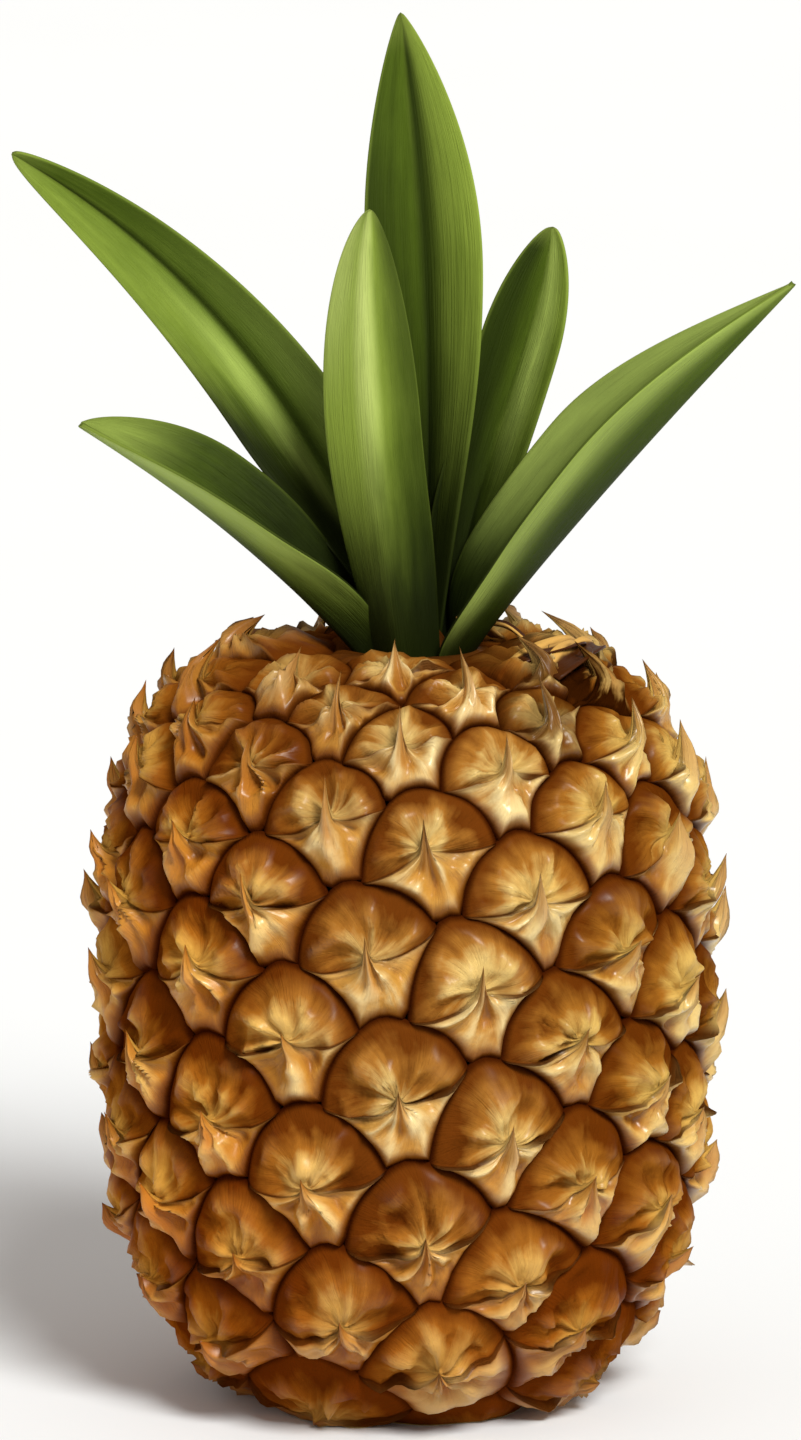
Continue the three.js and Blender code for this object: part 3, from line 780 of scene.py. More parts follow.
@dataclass
class Spiral:
    """Where the eyes sit: one golden-angle spiral up the barrel, in degrees and millimetres.

    A tip's two pairs are how far it stands out and up, at the base and at the shoulder.
    """

    barrel: Barrel
    divergence: float = 137.377
    middle_eye: int = 44
    middle_azimuth: float = -3.8
    first_eye: int = -6
    last_eye: int = 120
    phase: float = 6.9
    front_swell: float = 0.056
    side_lean: float = 2.4
    looseness: float = 2.9
    side_bow: float = 2.3
    side_bow_share: float = 0.19
    tip_out: Span = (2.2, 4.3)
    tip_out_variation: float = 0.3
    tip_up: Span = (2.2, 7.0)
    tip_up_variation: float = 0.4
    bulge_variation: float = 0.12
    sway: float = 1.3
    least_girth: float = 0.1
    samples: int = 10

    def eyes(self) -> list[Eye]:
        """Places the eyes and works out their outlines.

        Returns:
            The eyes from the base up, and last the seat of the crown.
        """
        made = [self._eye(number) for number in range(self.first_eye, self.last_eye + 1)]
        pole = np.array([0.0, 0.0, 1.0])
        made.append(Eye(self.last_eye + 1, pole, tip_out=0.0, tip_up=0.0, bulge=1.0))
        self._outline(made)
        return made

    def _eye(self, number: int) -> Eye:
        """Puts one eye in its place.

        Args:
            number: its number, counted up the spiral.

        Returns:
            The eye, still without an outline.
        """
        barrel = self.barrel
        even = math.radians(self.middle_azimuth - self.divergence * (number - self.middle_eye))
        wrapped = math.atan2(math.sin(even), math.cos(even))
        measure = number + self.phase
        r = float(barrel.at("eyes", measure, "r"))
        z = float(barrel.at("eyes", measure, "z"))
        girth = min(max(r / barrel.radius, self.least_girth), 1)
        sideways = self.looseness * girth * scatter(number, Seed.AZIMUTH) / r
        azimuth = wrapped + self.front_swell * math.sin(wrapped) + sideways
        upwards = self.side_lean * math.sin(azimuth) + self.looseness * scatter(number, Seed.HEIGHT)
        arc = float(barrel.at("eyes", measure, "arc")) + girth * upwards
        height = min(max(z / barrel.top, 0), 1)
        out = 1 + self.tip_out_variation * scatter(number, Seed.TIP_OUT)
        up = 1 + self.tip_up_variation * scatter(number, Seed.TIP_UP)
        return Eye(
            number=number,
            direction=barrel.direction(azimuth, float(barrel.at("arc", arc, "map_height"))),
            tip_out=float(np.interp(height, (0, 1), self.tip_out)) * out,
            tip_up=float(np.interp(height, (0, 1), self.tip_up)) * up,
            bulge=1 + self.bulge_variation * scatter(number, Seed.BULGE),
            sway=self.sway * scatter(number, Seed.SWAY),
        )

    @staticmethod
    def _hull(directions: np.ndarray) -> np.ndarray:
        """Finds which eyes are neighbours, from the hull round their directions.

        Args:
            directions: the eyes' directions.

        Returns:
            The hull's triangles, as rows of three places in that list.
        """
        mesh = bpy.data.meshes.new("eye_directions")
        mesh.from_pydata(directions.tolist(), [], [])
        cage = bpy.data.objects.new("eye_directions", mesh)
        bpy.context.collection.objects.link(cage)
        make_active(cage)
        bpy.ops.object.mode_set(mode="EDIT")
        bpy.ops.mesh.select_all(action="SELECT")
        bpy.ops.mesh.convex_hull(join_triangles=False)
        bpy.ops.object.mode_set(mode="OBJECT")
        corners = np.empty(len(mesh.polygons) * 3, dtype=np.int32)
        mesh.polygons.foreach_get("vertices", corners)
        nearest = np.argmax(places_of(mesh) @ directions.T, axis=1)
        bpy.data.objects.remove(cage)
        bpy.data.meshes.remove(mesh)
        return nearest[corners].reshape(-1, 3)

    def _outline(self, eyes: list[Eye]) -> None:
        """Gives each eye its bowed outline, which it shares with its neighbours.

        Args:
            eyes: all the eyes; their outlines and corner angles are filled in.
        """
        directions = np.array([eye.direction for eye in eyes])
        triangles = self._hull(directions)
        a, b, c = (directions[triangles[:, place]] for place in range(3))
        corners = np.cross(b - a, c - a)
        corners *= np.sign(np.sum(corners * a, axis=1))[:, None]
        corners /= np.linalg.norm(corners, axis=1)[:, None]
        for place, eye in enumerate(eyes):
            east, north = eye.axes
            touching = np.nonzero((triangles == place).any(axis=1))[0]
            seen = corners[touching]
            turn = np.arctan2(seen @ north, seen @ east)
            order = touching[np.argsort(turn)]
            line = []
            angles = []
            for first, second in zip(order, np.roll(order, -1)):
                shared = set(triangles[first]) & set(triangles[second]) - {place}
                other = directions[shared.pop()]
                curve = self._side(corners[first], corners[second], eye.direction, other)
                flat = curve / (curve @ eye.direction)[:, None]
                flat = np.stack([flat @ east, flat @ north], axis=1)
                line.append(flat)
                angles.append(math.atan2(flat[0, 1], flat[0, 0]))
            eye.outline = np.concatenate(line)
            eye.corner_angles = np.array(angles)

    def _side(self, start: np.ndarray, end: np.ndarray, one: np.ndarray, other: np.ndarray) -> np.ndarray:
        """Draws the side between two eyes, bowed towards the upper one.

        Args:
            start: the corner where it begins.
            end: the corner where it ends.
            one: the direction of one of the eyes.
            other: the direction of the other.

        Returns:
            Rows of x, y, z from the start to just before the end.
        """
        upper, lower = (one, other) if one[2] > other[2] else (other, one)
        across = (upper - lower) / np.linalg.norm(upper - lower)
        middle = (start + end) / 2
        level = math.hypot(middle[0], middle[1])
        east = np.array([-middle[1], middle[0], 0.0]) / max(level, 1e-6)
        north = np.cross(middle / np.linalg.norm(middle), east)
        skin = self.barrel.under(middle, 0.0, 0.0)
        away = math.hypot(skin[0] - self.barrel.centre[0], skin[1] - self.barrel.centre[1])
        steepness = min(1.0, 2 * float(across @ north))
        length = float(np.linalg.norm(start - end))
        bow = min(self.side_bow * level / max(away, 1), self.side_bow_share * length) * steepness
        control = middle + 2 * bow * across
        t = np.linspace(0, 1, self.samples, endpoint=False)[:, None]
        return (1 - t) ** 2 * start + 2 * (1 - t) * t * control + t**2 * end


@dataclass
class Layout:
    """How the master's vertices lie, which is the same for every eye.

    Rho is the share of the way from the tip to the groove, behind the share of the way down the wedge, and
    share that of the way from one crease to the other, within the cap or the bract.
    """

    rho: np.ndarray
    behind: np.ndarray
    in_cap: np.ndarray
    share: np.ndarray


@dataclass
class FruitletTile:
    """The master fruitlet: rings round the tip, then a wedge that closes it behind."""

    cap_spokes: int = 38
    bract_spokes: int = 34
    spoke_crowding: float = 0.6
    rings: tuple[float, ...] = (
        1.0, 0.985, 0.965, 0.94, 0.905, 0.86, 0.8, 0.73, 0.65, 0.57,
        0.49, 0.41, 0.335, 0.265, 0.2, 0.145, 0.1, 0.065, 0.038, 0.017,
    )
    back_rings: tuple[float, ...] = (0.96, 0.88)

    @property
    def spokes(self) -> int:
        """How many spokes each ring has."""
        return self.cap_spokes + self.bract_spokes

    def model(self) -> bpy.types.Object:
        """Models the flat master by extruding a ring inwards, then its back downwards.

        Returns:
            The master, with radius 1 and its back 1 below.
        """

        def outer_ring(places: np.ndarray) -> np.ndarray:
            """The vertices of the front's outermost ring."""
            return (np.hypot(places[:, 0], places[:, 1]) > 0.999) & (places[:, 2] > -1e-4)

        bpy.ops.object.select_all(action="DESELECT")
        bpy.ops.mesh.primitive_circle_add(vertices=self.spokes, radius=1.0, location=(0, 0, 0))
        tile = bpy.context.object
        bpy.ops.object.mode_set(mode="EDIT")
        bpy.ops.mesh.select_all(action="SELECT")
        for outer, inner in zip(self.rings, self.rings[1:]):
            self._step(inner / outer, 0.0)
        self._close()
        select_vertices(tile, outer_ring)
        for outer, inner in zip((1.0, *self.back_rings), self.back_rings):
            self._step(inner / outer, -1.0 / len(self.back_rings))
        self._close()
        bpy.ops.mesh.select_all(action="SELECT")
        bpy.ops.mesh.normals_make_consistent(inside=False)
        bpy.ops.object.mode_set(mode="OBJECT")
        return tile

    def layout(self, places: np.ndarray) -> Layout:
        """Reads how the vertices lie on the master's rings and spokes.

        Args:
            places: the master's vertices, as rows of x, y, z.

        Returns:
            Their layout; the spokes are crowded towards the creases.
        """
        angle = np.arctan2(places[:, 1], places[:, 0])
        spoke = np.round(angle / (TURN / self.spokes)).astype(int) % self.spokes
        in_cap = spoke < self.cap_spokes
        cap_share = spoke / (self.cap_spokes - 1)
        bract_share = (spoke - self.cap_spokes) / (self.bract_spokes - 1)
        share = np.where(in_cap, cap_share, bract_share)
        return Layout(
            rho=np.clip(np.hypot(places[:, 0], places[:, 1]), 0, 1),
            behind=np.clip(-places[:, 2], 0, 1),
            in_cap=in_cap,
            share=share - self.spoke_crowding * np.sin(TURN * share) / TURN,
        )

    @staticmethod
    def _step(scale: float, drop: float) -> None:
        """Extrudes the selected ring.

        Args:
            scale: the new ring's share of the old one's size.
            drop: how far it is moved up; less than 0 is down.
        """
        bpy.ops.mesh.extrude_edges_indiv()
        bpy.ops.transform.resize(value=(scale, scale, 1.0), center_override=(0, 0, 0))
        bpy.ops.transform.translate(value=(0, 0, drop))

    @staticmethod
    def _close() -> None:
        """Extrudes the selected ring into one middle point."""
        bpy.ops.mesh.extrude_edges_indiv()
        bpy.ops.mesh.merge(type="CENTER")


@dataclass
class Spread:
    """How one eye's vertices are spread over it, before its relief.

    Directions are those of the unit sphere, span is the angle from crease to crease, and the distances to
    the nearest crease and to the middle of the cap or bract are in millimetres.
    """

    directions: np.ndarray
    span: np.ndarray
    to_crease: np.ndarray
    to_middle: np.ndarray


@dataclass
class Rind:
    """The skin: one warped copy of the master fruitlet for every eye, in millimetres.

    The groove is the deep line between the eyes, and the crevice is the fine one between cap and bract. The
    tints are how far the crevice's painted shade, the lip's painted highlight and the keel's colour reach.
    The cap's corners are sought near two angles, in degrees. Folds come in between the two heights of
    calm_foot, so that no fruitlet crosses itself at the cut base. The seat's stem has an offset to the
    right, a radius and a height.
    """

    spiral: Spiral
    tile: FruitletTile = field(default_factory=FruitletTile)
    finish: RindFinish = field(default_factory=RindFinish)
    groove_depth: float = 3.2
    groove_wall: float = 0.08
    wedge_depth: float = 9.0
    overlap: float = 1.012
    cap_corners: Span = (4.0, 184.0)
    scallop: float = math.radians(23)
    scallop_variation: float = 0.4
    dome_powers: Span = (4, 0.85)
    dimple: float = 0.35
    dimple_reach: float = 0.3
    bract_foot: float = 0.6
    bract_lift: float = 0.8
    keel: float = 0.8
    keel_width: float = 1.0
    keel_tint: float = 1.3
    lip: float = 0.45
    lip_width: float = 1.1
    lip_tint: float = 1.6
    crevice_depth: float = 0.6
    crevice_width: float = 0.3
    crevice_slope: float = 0.9
    crevice_tint: float = 0.4
    tip_drop: float = 0.6
    tip_drop_variation: float = 0.5
    tip_spread: float = 0.13
    spine_spread: float = 0.3
    spine_powers: Span = (2.1, 3.0)
    cap_fold: float = 1.7
    bract_fold: float = 2.4
    wide_folds: Triple = (1.3, 0.7, 1.0)
    narrow_folds: Triple = (3.1, 1.3, 1.0)
    crumple: float = 1.6
    crumple_scales: Span = (0.17, 0.14)
    calm_foot: Span = (-2.0, 5.0)
    withered_eyes: tuple[tuple[int, float], ...] = (
        (109, 1.0), (114, 0.8), (117, 0.6), (104, 0.5), (106, 0.4),
    )
    seat_depth: float = 1.5
    seat_stem: Triple = (2.9, 5.2, 5.0)
    stem_slope: float = 1.5
    cut_tolerance: float = 0.001
    core_foot: float = 0.6
    core_least_radius: float = 4.0
    core_top_gap: float = 3.0
    core_stride: int = 25
    core_steps: int = 64
    core_finish: PlainFinish = PlainFinish("core_flesh", paint(120, 80, 30))

    def build(self) -> None:
        """Makes the bands of the rind and the hidden core."""
        master = self.tile.model()
        layout = self.tile.layout(places_of(master.data))
        eyes = self.spiral.eyes()
        third = math.ceil(len(eyes) / len(Band))
        material = self.finish.material()
        for place, band in enumerate(Band):
            chosen = eyes[place * third : (place + 1) * third]
            copies = [self._copy(master, layout, eye) for eye in chosen]
            if band is Band.LOWER:
                copies = self._cut_base(copies)
            piece = self._join(copies)
            piece.data.materials.clear()
            piece.data.materials.append(material)
            make_active(piece)
            bpy.ops.object.shade_smooth()
            finish_piece(piece, band.value, ("fruit",))
        bpy.data.objects.remove(master)
        self._core()

    def _copy(self, master: bpy.types.Object, layout: Layout, eye: Eye) -> bpy.types.Object:
        """Makes one fruitlet.

        Args:
            master: the flat master.
            layout: how its vertices lie.
            eye: the eye that the fruitlet is for.

        Returns:
            A copy of the master with its own mesh, warped onto the eye.
        """
        mesh = master.data.copy()
        copy = bpy.data.objects.new("fruitlet", mesh)
        bpy.context.collection.objects.link(copy)
        self._warp(mesh, layout, eye)
        return copy

    def _warp(self, mesh: bpy.types.Mesh, layout: Layout, eye: Eye) -> None:
        """Moves a copy's vertices onto an eye, and stores what its material reads.

        Args:
            mesh: the copy's mesh.
            layout: how its vertices lie.
            eye: the eye.
        """
        rho, in_cap = layout.rho, layout.in_cap
        spread = self._spread(layout, eye)
        base = self.spiral.barrel.under(spread.directions, 0.0, 0.0)
        # Every half of an eye reads a part of the noise of its own.
        own_part = np.full(len(rho), 3.7 * eye.number) + 1.9 * in_cap
        fibre = np.stack([layout.share * spread.span, rho, own_part], axis=1)
        if eye.is_seat:
            folds, up = 0 * rho, 0 * rho
            out = self._seat_relief(rho, base)
        else:
            folds = self._folds(layout, base, fibre) * ease(base[:, 2], *self.calm_foot)
            out, up = self._relief(layout, spread, eye)
        out = out + folds - layout.behind * self.wedge_depth
        set_places(mesh, self.spiral.barrel.under(spread.directions, out, up) * MM)

        keel = np.exp(-((spread.to_middle / self.keel_tint) ** 2)) * (1 - in_cap)
        ridge = keel * ease(rho, 0.9, 0.1) + ease(rho, 0.14, 0.02)
        before_groove = 1 - rho**12
        measures = {
            "reach": rho + layout.behind,
            "bract": 1.0 - in_cap,
            # crease places the crevice's painted shade, edge the lip's painted highlight, and folds the
            # painted light and shade of the folds.
            "crease": np.exp(-spread.to_crease / self.crevice_tint) * ease(rho, 0.1, 0.5) * before_groove,
            "edge": np.exp(-spread.to_crease / self.lip_tint) * ease(rho, 0.0, 0.1) * before_groove,
            "folds": folds / self.bract_fold,
            "ridge": np.clip(ridge, 0, 1),
            "tint": np.full(len(rho), scatter(eye.number, Seed.TINT)),
            "seat": np.full(len(rho), float(eye.is_seat)),
            "withered": np.full(len(rho), dict(self.withered_eyes).get(eye.number, 0.0)),
            "fibre": fibre,
        }
        for name, values in measures.items():
            set_measure(mesh, name, values)

    def _spread(self, layout: Layout, eye: Eye) -> Spread:
        """Spreads the master's vertices over an eye.

        Args:
            layout: how they lie on the master.
            eye: the eye.

        Returns:
            Where they come to lie, with the cap's two lobes hanging below the tip.
        """
        rho, in_cap, share = layout.rho, layout.in_cap, layout.share
        right, left = (self._corner_near(eye, math.radians(aim)) for aim in self.cap_corners)
        cap_span = (left - right) % TURN
        reach_of, mean = self._reach(eye)
        east, north = eye.axes
        beside = np.stack([eye.direction, eye.direction + east * mean])
        here, there = self.spiral.barrel.under(beside, 0.0, 0.0)
        radius = float(np.linalg.norm(there - here))

        # The creases bend down beside the tip, and a fine gap keeps them open.
        hang = 1 + self.scallop_variation * scatter(eye.number, Seed.SCALLOP)
        bend = self.scallop * hang * (1 - rho) ** 0.9
        gap = np.minimum(0.5 * self.crevice_width / (np.maximum(rho, 0.02) * radius), 0.2)
        bract_span = TURN - cap_span - 2 * bend
        cap_angle = right - bend + gap + (cap_span + 2 * bend - 2 * gap) * share
        bract_angle = right + cap_span + bend + gap + (bract_span - 2 * gap) * share
        angle = np.where(in_cap, cap_angle, bract_angle)
        span = np.where(in_cap, cap_span + 2 * bend, bract_span)

        # Rings near the tip are round, and those further out take the outline's shape.
        bract_border = right + cap_span + (TURN - cap_span) * share
        border_angle = np.where(in_cap, right + cap_span * share, bract_border)
        inner = np.clip(rho * 1.1 - 0.1, 0, 1)
        reach = self.overlap * rho * (mean * (1 - inner) + reach_of(border_angle) * inner)
        lowering = self.tip_drop * (1 + self.tip_drop_variation * scatter(eye.number, Seed.TIP_DROP))
        drop = (lowering / radius) * mean * (1 - rho)
        sway = (eye.sway / radius) * mean * (1 - rho)
        flat = np.stack([reach * np.cos(angle) + sway, reach * np.sin(angle) - drop], axis=1)
        return Spread(
            directions=eye.direction + flat[:, :1] * east + flat[:, 1:] * north,
            span=span,
            to_crease=np.minimum(share, 1 - share) * span * rho * radius,
            to_middle=np.abs(share - 0.5) * span * rho * radius,
        )

    @staticmethod
    def _corner_near(eye: Eye, aim: float) -> float:
        """The angle of the corner nearest to an aim, in radians."""
        gaps = np.abs(np.angle(np.exp(1j * (eye.corner_angles - aim))))
        return float(eye.corner_angles[np.argmin(gaps)])

    @staticmethod
    def _reach(eye: Eye) -> tuple[Callable[[np.ndarray], np.ndarray], float]:
        """Measures the outline from the eye's centre.

        Args:
            eye: the eye.

        Returns:
            A function that gives its distance at any angle, and its mean distance.
        """
        angles = np.arctan2(eye.outline[:, 1], eye.outline[:, 0])
        lengths = np.hypot(eye.outline[:, 0], eye.outline[:, 1])
        order = np.argsort(angles)
        angles, lengths = angles[order], lengths[order]

        def reach_of(angle: np.ndarray) -> np.ndarray:
            """The outline's distance at an angle."""
            return np.interp(angle, angles, lengths, period=TURN)

        turns = np.linspace(0, TURN, 72, endpoint=False)
        return reach_of, float(reach_of(turns).mean())

    def _relief(self, layout: Layout, spread: Spread, eye: Eye) -> tuple[np.ndarray, np.ndarray]:
        """How far each vertex stands out of the barrel, and up along it.

        Args:
            layout: how the vertices lie on the master.
            spread: how they are spread over the eye.
            eye: the eye.

        Returns:
            The two distances in millimetres.
        """
        rho, in_cap = layout.rho, layout.in_cap
        depth = self.groove_depth * eye.bulge
        live = ease(rho, 0.05, 0.45) * (1 - rho**8)
        squareness, fullness = self.dome_powers
        dome = np.clip(1 - rho**squareness, 0, 1) ** fullness
        cap = -self.groove_depth + depth * dome
        cap -= self.dimple * np.exp(-((rho / self.dimple_reach) ** 2)) * ease(rho, 0.0, 0.1)
        cap -= self.crevice_depth * np.exp(-spread.to_crease / self.crevice_slope) * live

        wall = 1 - np.exp(-(1 - rho) / self.groove_wall)
        slope = (1 - self.bract_foot) * depth + self.bract_lift * ease(rho, 0.0, 0.12)
        keel = self.keel * np.exp(-((spread.to_middle / self.keel_width) ** 2))
        bract = -self.groove_depth + self.bract_foot * depth * wall
        bract += slope * (1 - rho)
        bract += keel * (1 - rho) ** 0.7 * ease(rho, 0.0, 0.2)
        bract += self.lip * np.exp(-spread.to_crease / self.lip_width) * live

        spine = self.tip_spread + self.spine_spread * np.sin(math.pi * layout.share) ** 2
        run = np.clip(1 - rho / np.where(in_cap, self.tip_spread, spine), 0, 1)
        out_power, up_power = self.spine_powers
        return np.where(in_cap, cap, bract) + eye.tip_out * run**out_power, eye.tip_up * run**up_power

    def _seat_relief(self, rho: np.ndarray, base: np.ndarray) -> np.ndarray:
        """Shapes the crown's seat: nearly flat, with the stub of the stem.

        Args:
            rho: share of the way from the seat's middle to the groove.
            base: the vertices' places on the plain barrel.

        Returns:
            How far each vertex stands out of the barrel.
        """
        offset, radius, height = self.seat_stem
        centre = self.spiral.barrel.centre
        away = np.hypot(base[:, 0] - centre[0] - offset, base[:, 1] - centre[1])
        wall = 1 - np.exp(-(1 - rho) / self.groove_wall)
        flat = -self.groove_depth + (self.groove_depth - self.seat_depth) * wall
        return flat + height * ease(away, radius + self.stem_slope, radius - self.stem_slope)

    def _folds(self, layout: Layout, base: np.ndarray, fibre: np.ndarray) -> np.ndarray:
        """Creases that run out from the tip, and crumples; both fade out at the grooves.

        Args:
            layout: how the vertices lie on the master.
            base: their places on the plain barrel, in millimetres.
            fibre: angle, share of the way out, and a number of its own for each half of an eye.

        Returns:
            How far each vertex is moved outwards, in millimetres.
        """

        def cloud(points: np.ndarray) -> np.ndarray:
            """Smooth noise from about -1 to 1 at each point."""
            return np.array([noise.noise(Vector(point)) for point in points])

        def ridged(points: np.ndarray) -> np.ndarray:
            """Noise with sharp crests, from -1 to 1."""
            return np.maximum(1 - 4.5 * np.abs(cloud(points)), -1)

        other_part, third_part = 40, 90
        soft_scale, sharp_scale = self.crumple_scales
        wide = ridged(fibre * self.wide_folds)
        narrow = ridged(fibre * self.narrow_folds + other_part)
        lumps = cloud(base * soft_scale) + 0.6 * ridged(base * sharp_scale + third_part)
        window = np.sin(math.pi * np.clip(layout.rho, 0, 1) ** 0.8)
        size = np.where(layout.in_cap, self.cap_fold, self.bract_fold)
        return window * (size * (0.8 * wide + 0.2 * narrow) + self.crumple * lumps)

    @staticmethod
    def _join(copies: list[bpy.types.Object]) -> bpy.types.Object:
        """Joins the fruitlets of a band.

        Args:
            copies: the fruitlets.

        Returns:
            The one piece that they become.
        """
        make_active(copies[0])
        for copy in copies:
            copy.select_set(True)
        bpy.ops.object.join()
        return bpy.context.object

    def _cut_base(self, copies: list[bpy.types.Object]) -> list[bpy.types.Object]:
        """Cuts the lowest fruitlets flat, one by one, at the level that the fruit stands on.

        Args:
            copies: the warped fruitlets.

        Returns:
            The fruitlets of which something is left.
        """
        kept = []
        for copy in copies:
            if places_of(copy.data)[:, 2].min() >= 0:
                kept.append(copy)
                continue
            make_active(copy)
            bpy.ops.object.mode_set(mode="EDIT")
            bpy.ops.mesh.select_all(action="SELECT")
            bpy.ops.mesh.bisect(
                plane_co=(0, 0, 0), plane_no=(0, 0, 1), clear_inner=True, threshold=self.cut_tolerance * MM
            )
            bpy.ops.object.mode_set(mode="OBJECT")
            if len(copy.data.vertices):
                kept.append(self._close_cut(copy))
            else:
                bpy.data.objects.remove(copy)
        return kept

    @staticmethod
    def _close_cut(copy: bpy.types.Object) -> bpy.types.Object:
        """Keeps the largest part of a cut fruitlet and closes it along the cut.

        Args:
            copy: the fruitlet, open at the cut.

        Returns:
            The closed part.
        """
        bpy.ops.object.mode_set(mode="EDIT")
        bpy.ops.mesh.select_all(action="SELECT")
        bpy.ops.mesh.separate(type="LOOSE")
        bpy.ops.object.mode_set(mode="OBJECT")
        parts = sorted(bpy.context.selected_objects, key=lambda part: len(part.data.vertices))
        for crumb in parts[:-1]:
            bpy.data.objects.remove(crumb)
        make_active(parts[-1])
        bpy.ops.object.mode_set(mode="EDIT")
        bpy.ops.mesh.select_all(action="DESELECT")
        bpy.ops.mesh.select_non_manifold(
            use_wire=False, use_multi_face=False, use_non_contiguous=False, use_verts=False
        )
        bpy.ops.mesh.fill(use_beauty=False)
        bpy.ops.object.mode_set(mode="OBJECT")
        return parts[-1]

    def _core(self) -> None:
        """Spins the hidden flesh behind the fruitlets round the fruit's axis."""
        barrel = self.spiral.barrel
        inset = self.groove_depth + 0.5 * self.wedge_depth
        keep = (barrel.line["z"] > self.core_foot) & (barrel.line["r"] > inset + self.core_least_radius)
        r = barrel.line["r"][keep][:: self.core_stride] - inset
        z = barrel.line["z"][keep][:: self.core_stride]
        z = np.clip(z, self.core_foot, barrel.top - inset - self.core_top_gap)
        line = [(0.0, z[0]), *zip(r, z), (0.0, z[-1])]
        centre = Vector((*barrel.centre, 0.0))
        points = [(Vector((away, 0.0, height)) + centre) * MM for away, height in line]
        mesh = bpy.data.meshes.new("core")
        mesh.from_pydata(points, [(i, i + 1) for i in range(len(points) - 1)], [])
        core = bpy.data.objects.new("core", mesh)
        bpy.context.collection.objects.link(core)
        make_active(core)
        bpy.ops.object.mode_set(mode="EDIT")
        bpy.ops.mesh.select_all(action="SELECT")
        bpy.ops.mesh.spin(steps=self.core_steps, angle=TURN, center=centre * MM, axis=(0, 0, 1))
        bpy.ops.mesh.select_all(action="SELECT")
        bpy.ops.mesh.remove_doubles(threshold=0.02 * MM)
        bpy.ops.mesh.normals_make_consistent(inside=False)
        bpy.ops.object.mode_set(mode="OBJECT")
        core.data.materials.append(self.core_finish.material())
        finish_piece(core, "core", ())


@dataclass
class Blade:
    """A leaf's half width laid flat: at its root and where it is widest, in millimetres.

    The widest place is a share of the length, and a lower bluntness ends in a blunter tip.
    """

    root: float
    widest: float
    widest_at: float
    bluntness: float

    def half_width(self, along: np.ndarray) -> np.ndarray:
        """Half the width of the blade.

        Args:
            along: shares of the length.

        Returns:
            The half widths there.
        """
        opening = np.sin(np.clip(along / self.widest_at, 0, 1) * math.pi / 2)
        rising = self.root + (self.widest - self.root) * opening
        past = np.clip((along - self.widest_at) / (1 - self.widest_at), 0, 1)
        falling = self.widest * np.clip(np.cos(past * math.pi / 2), 0, 1) ** self.bluntness
        return np.where(along < self.widest_at, rising, falling)


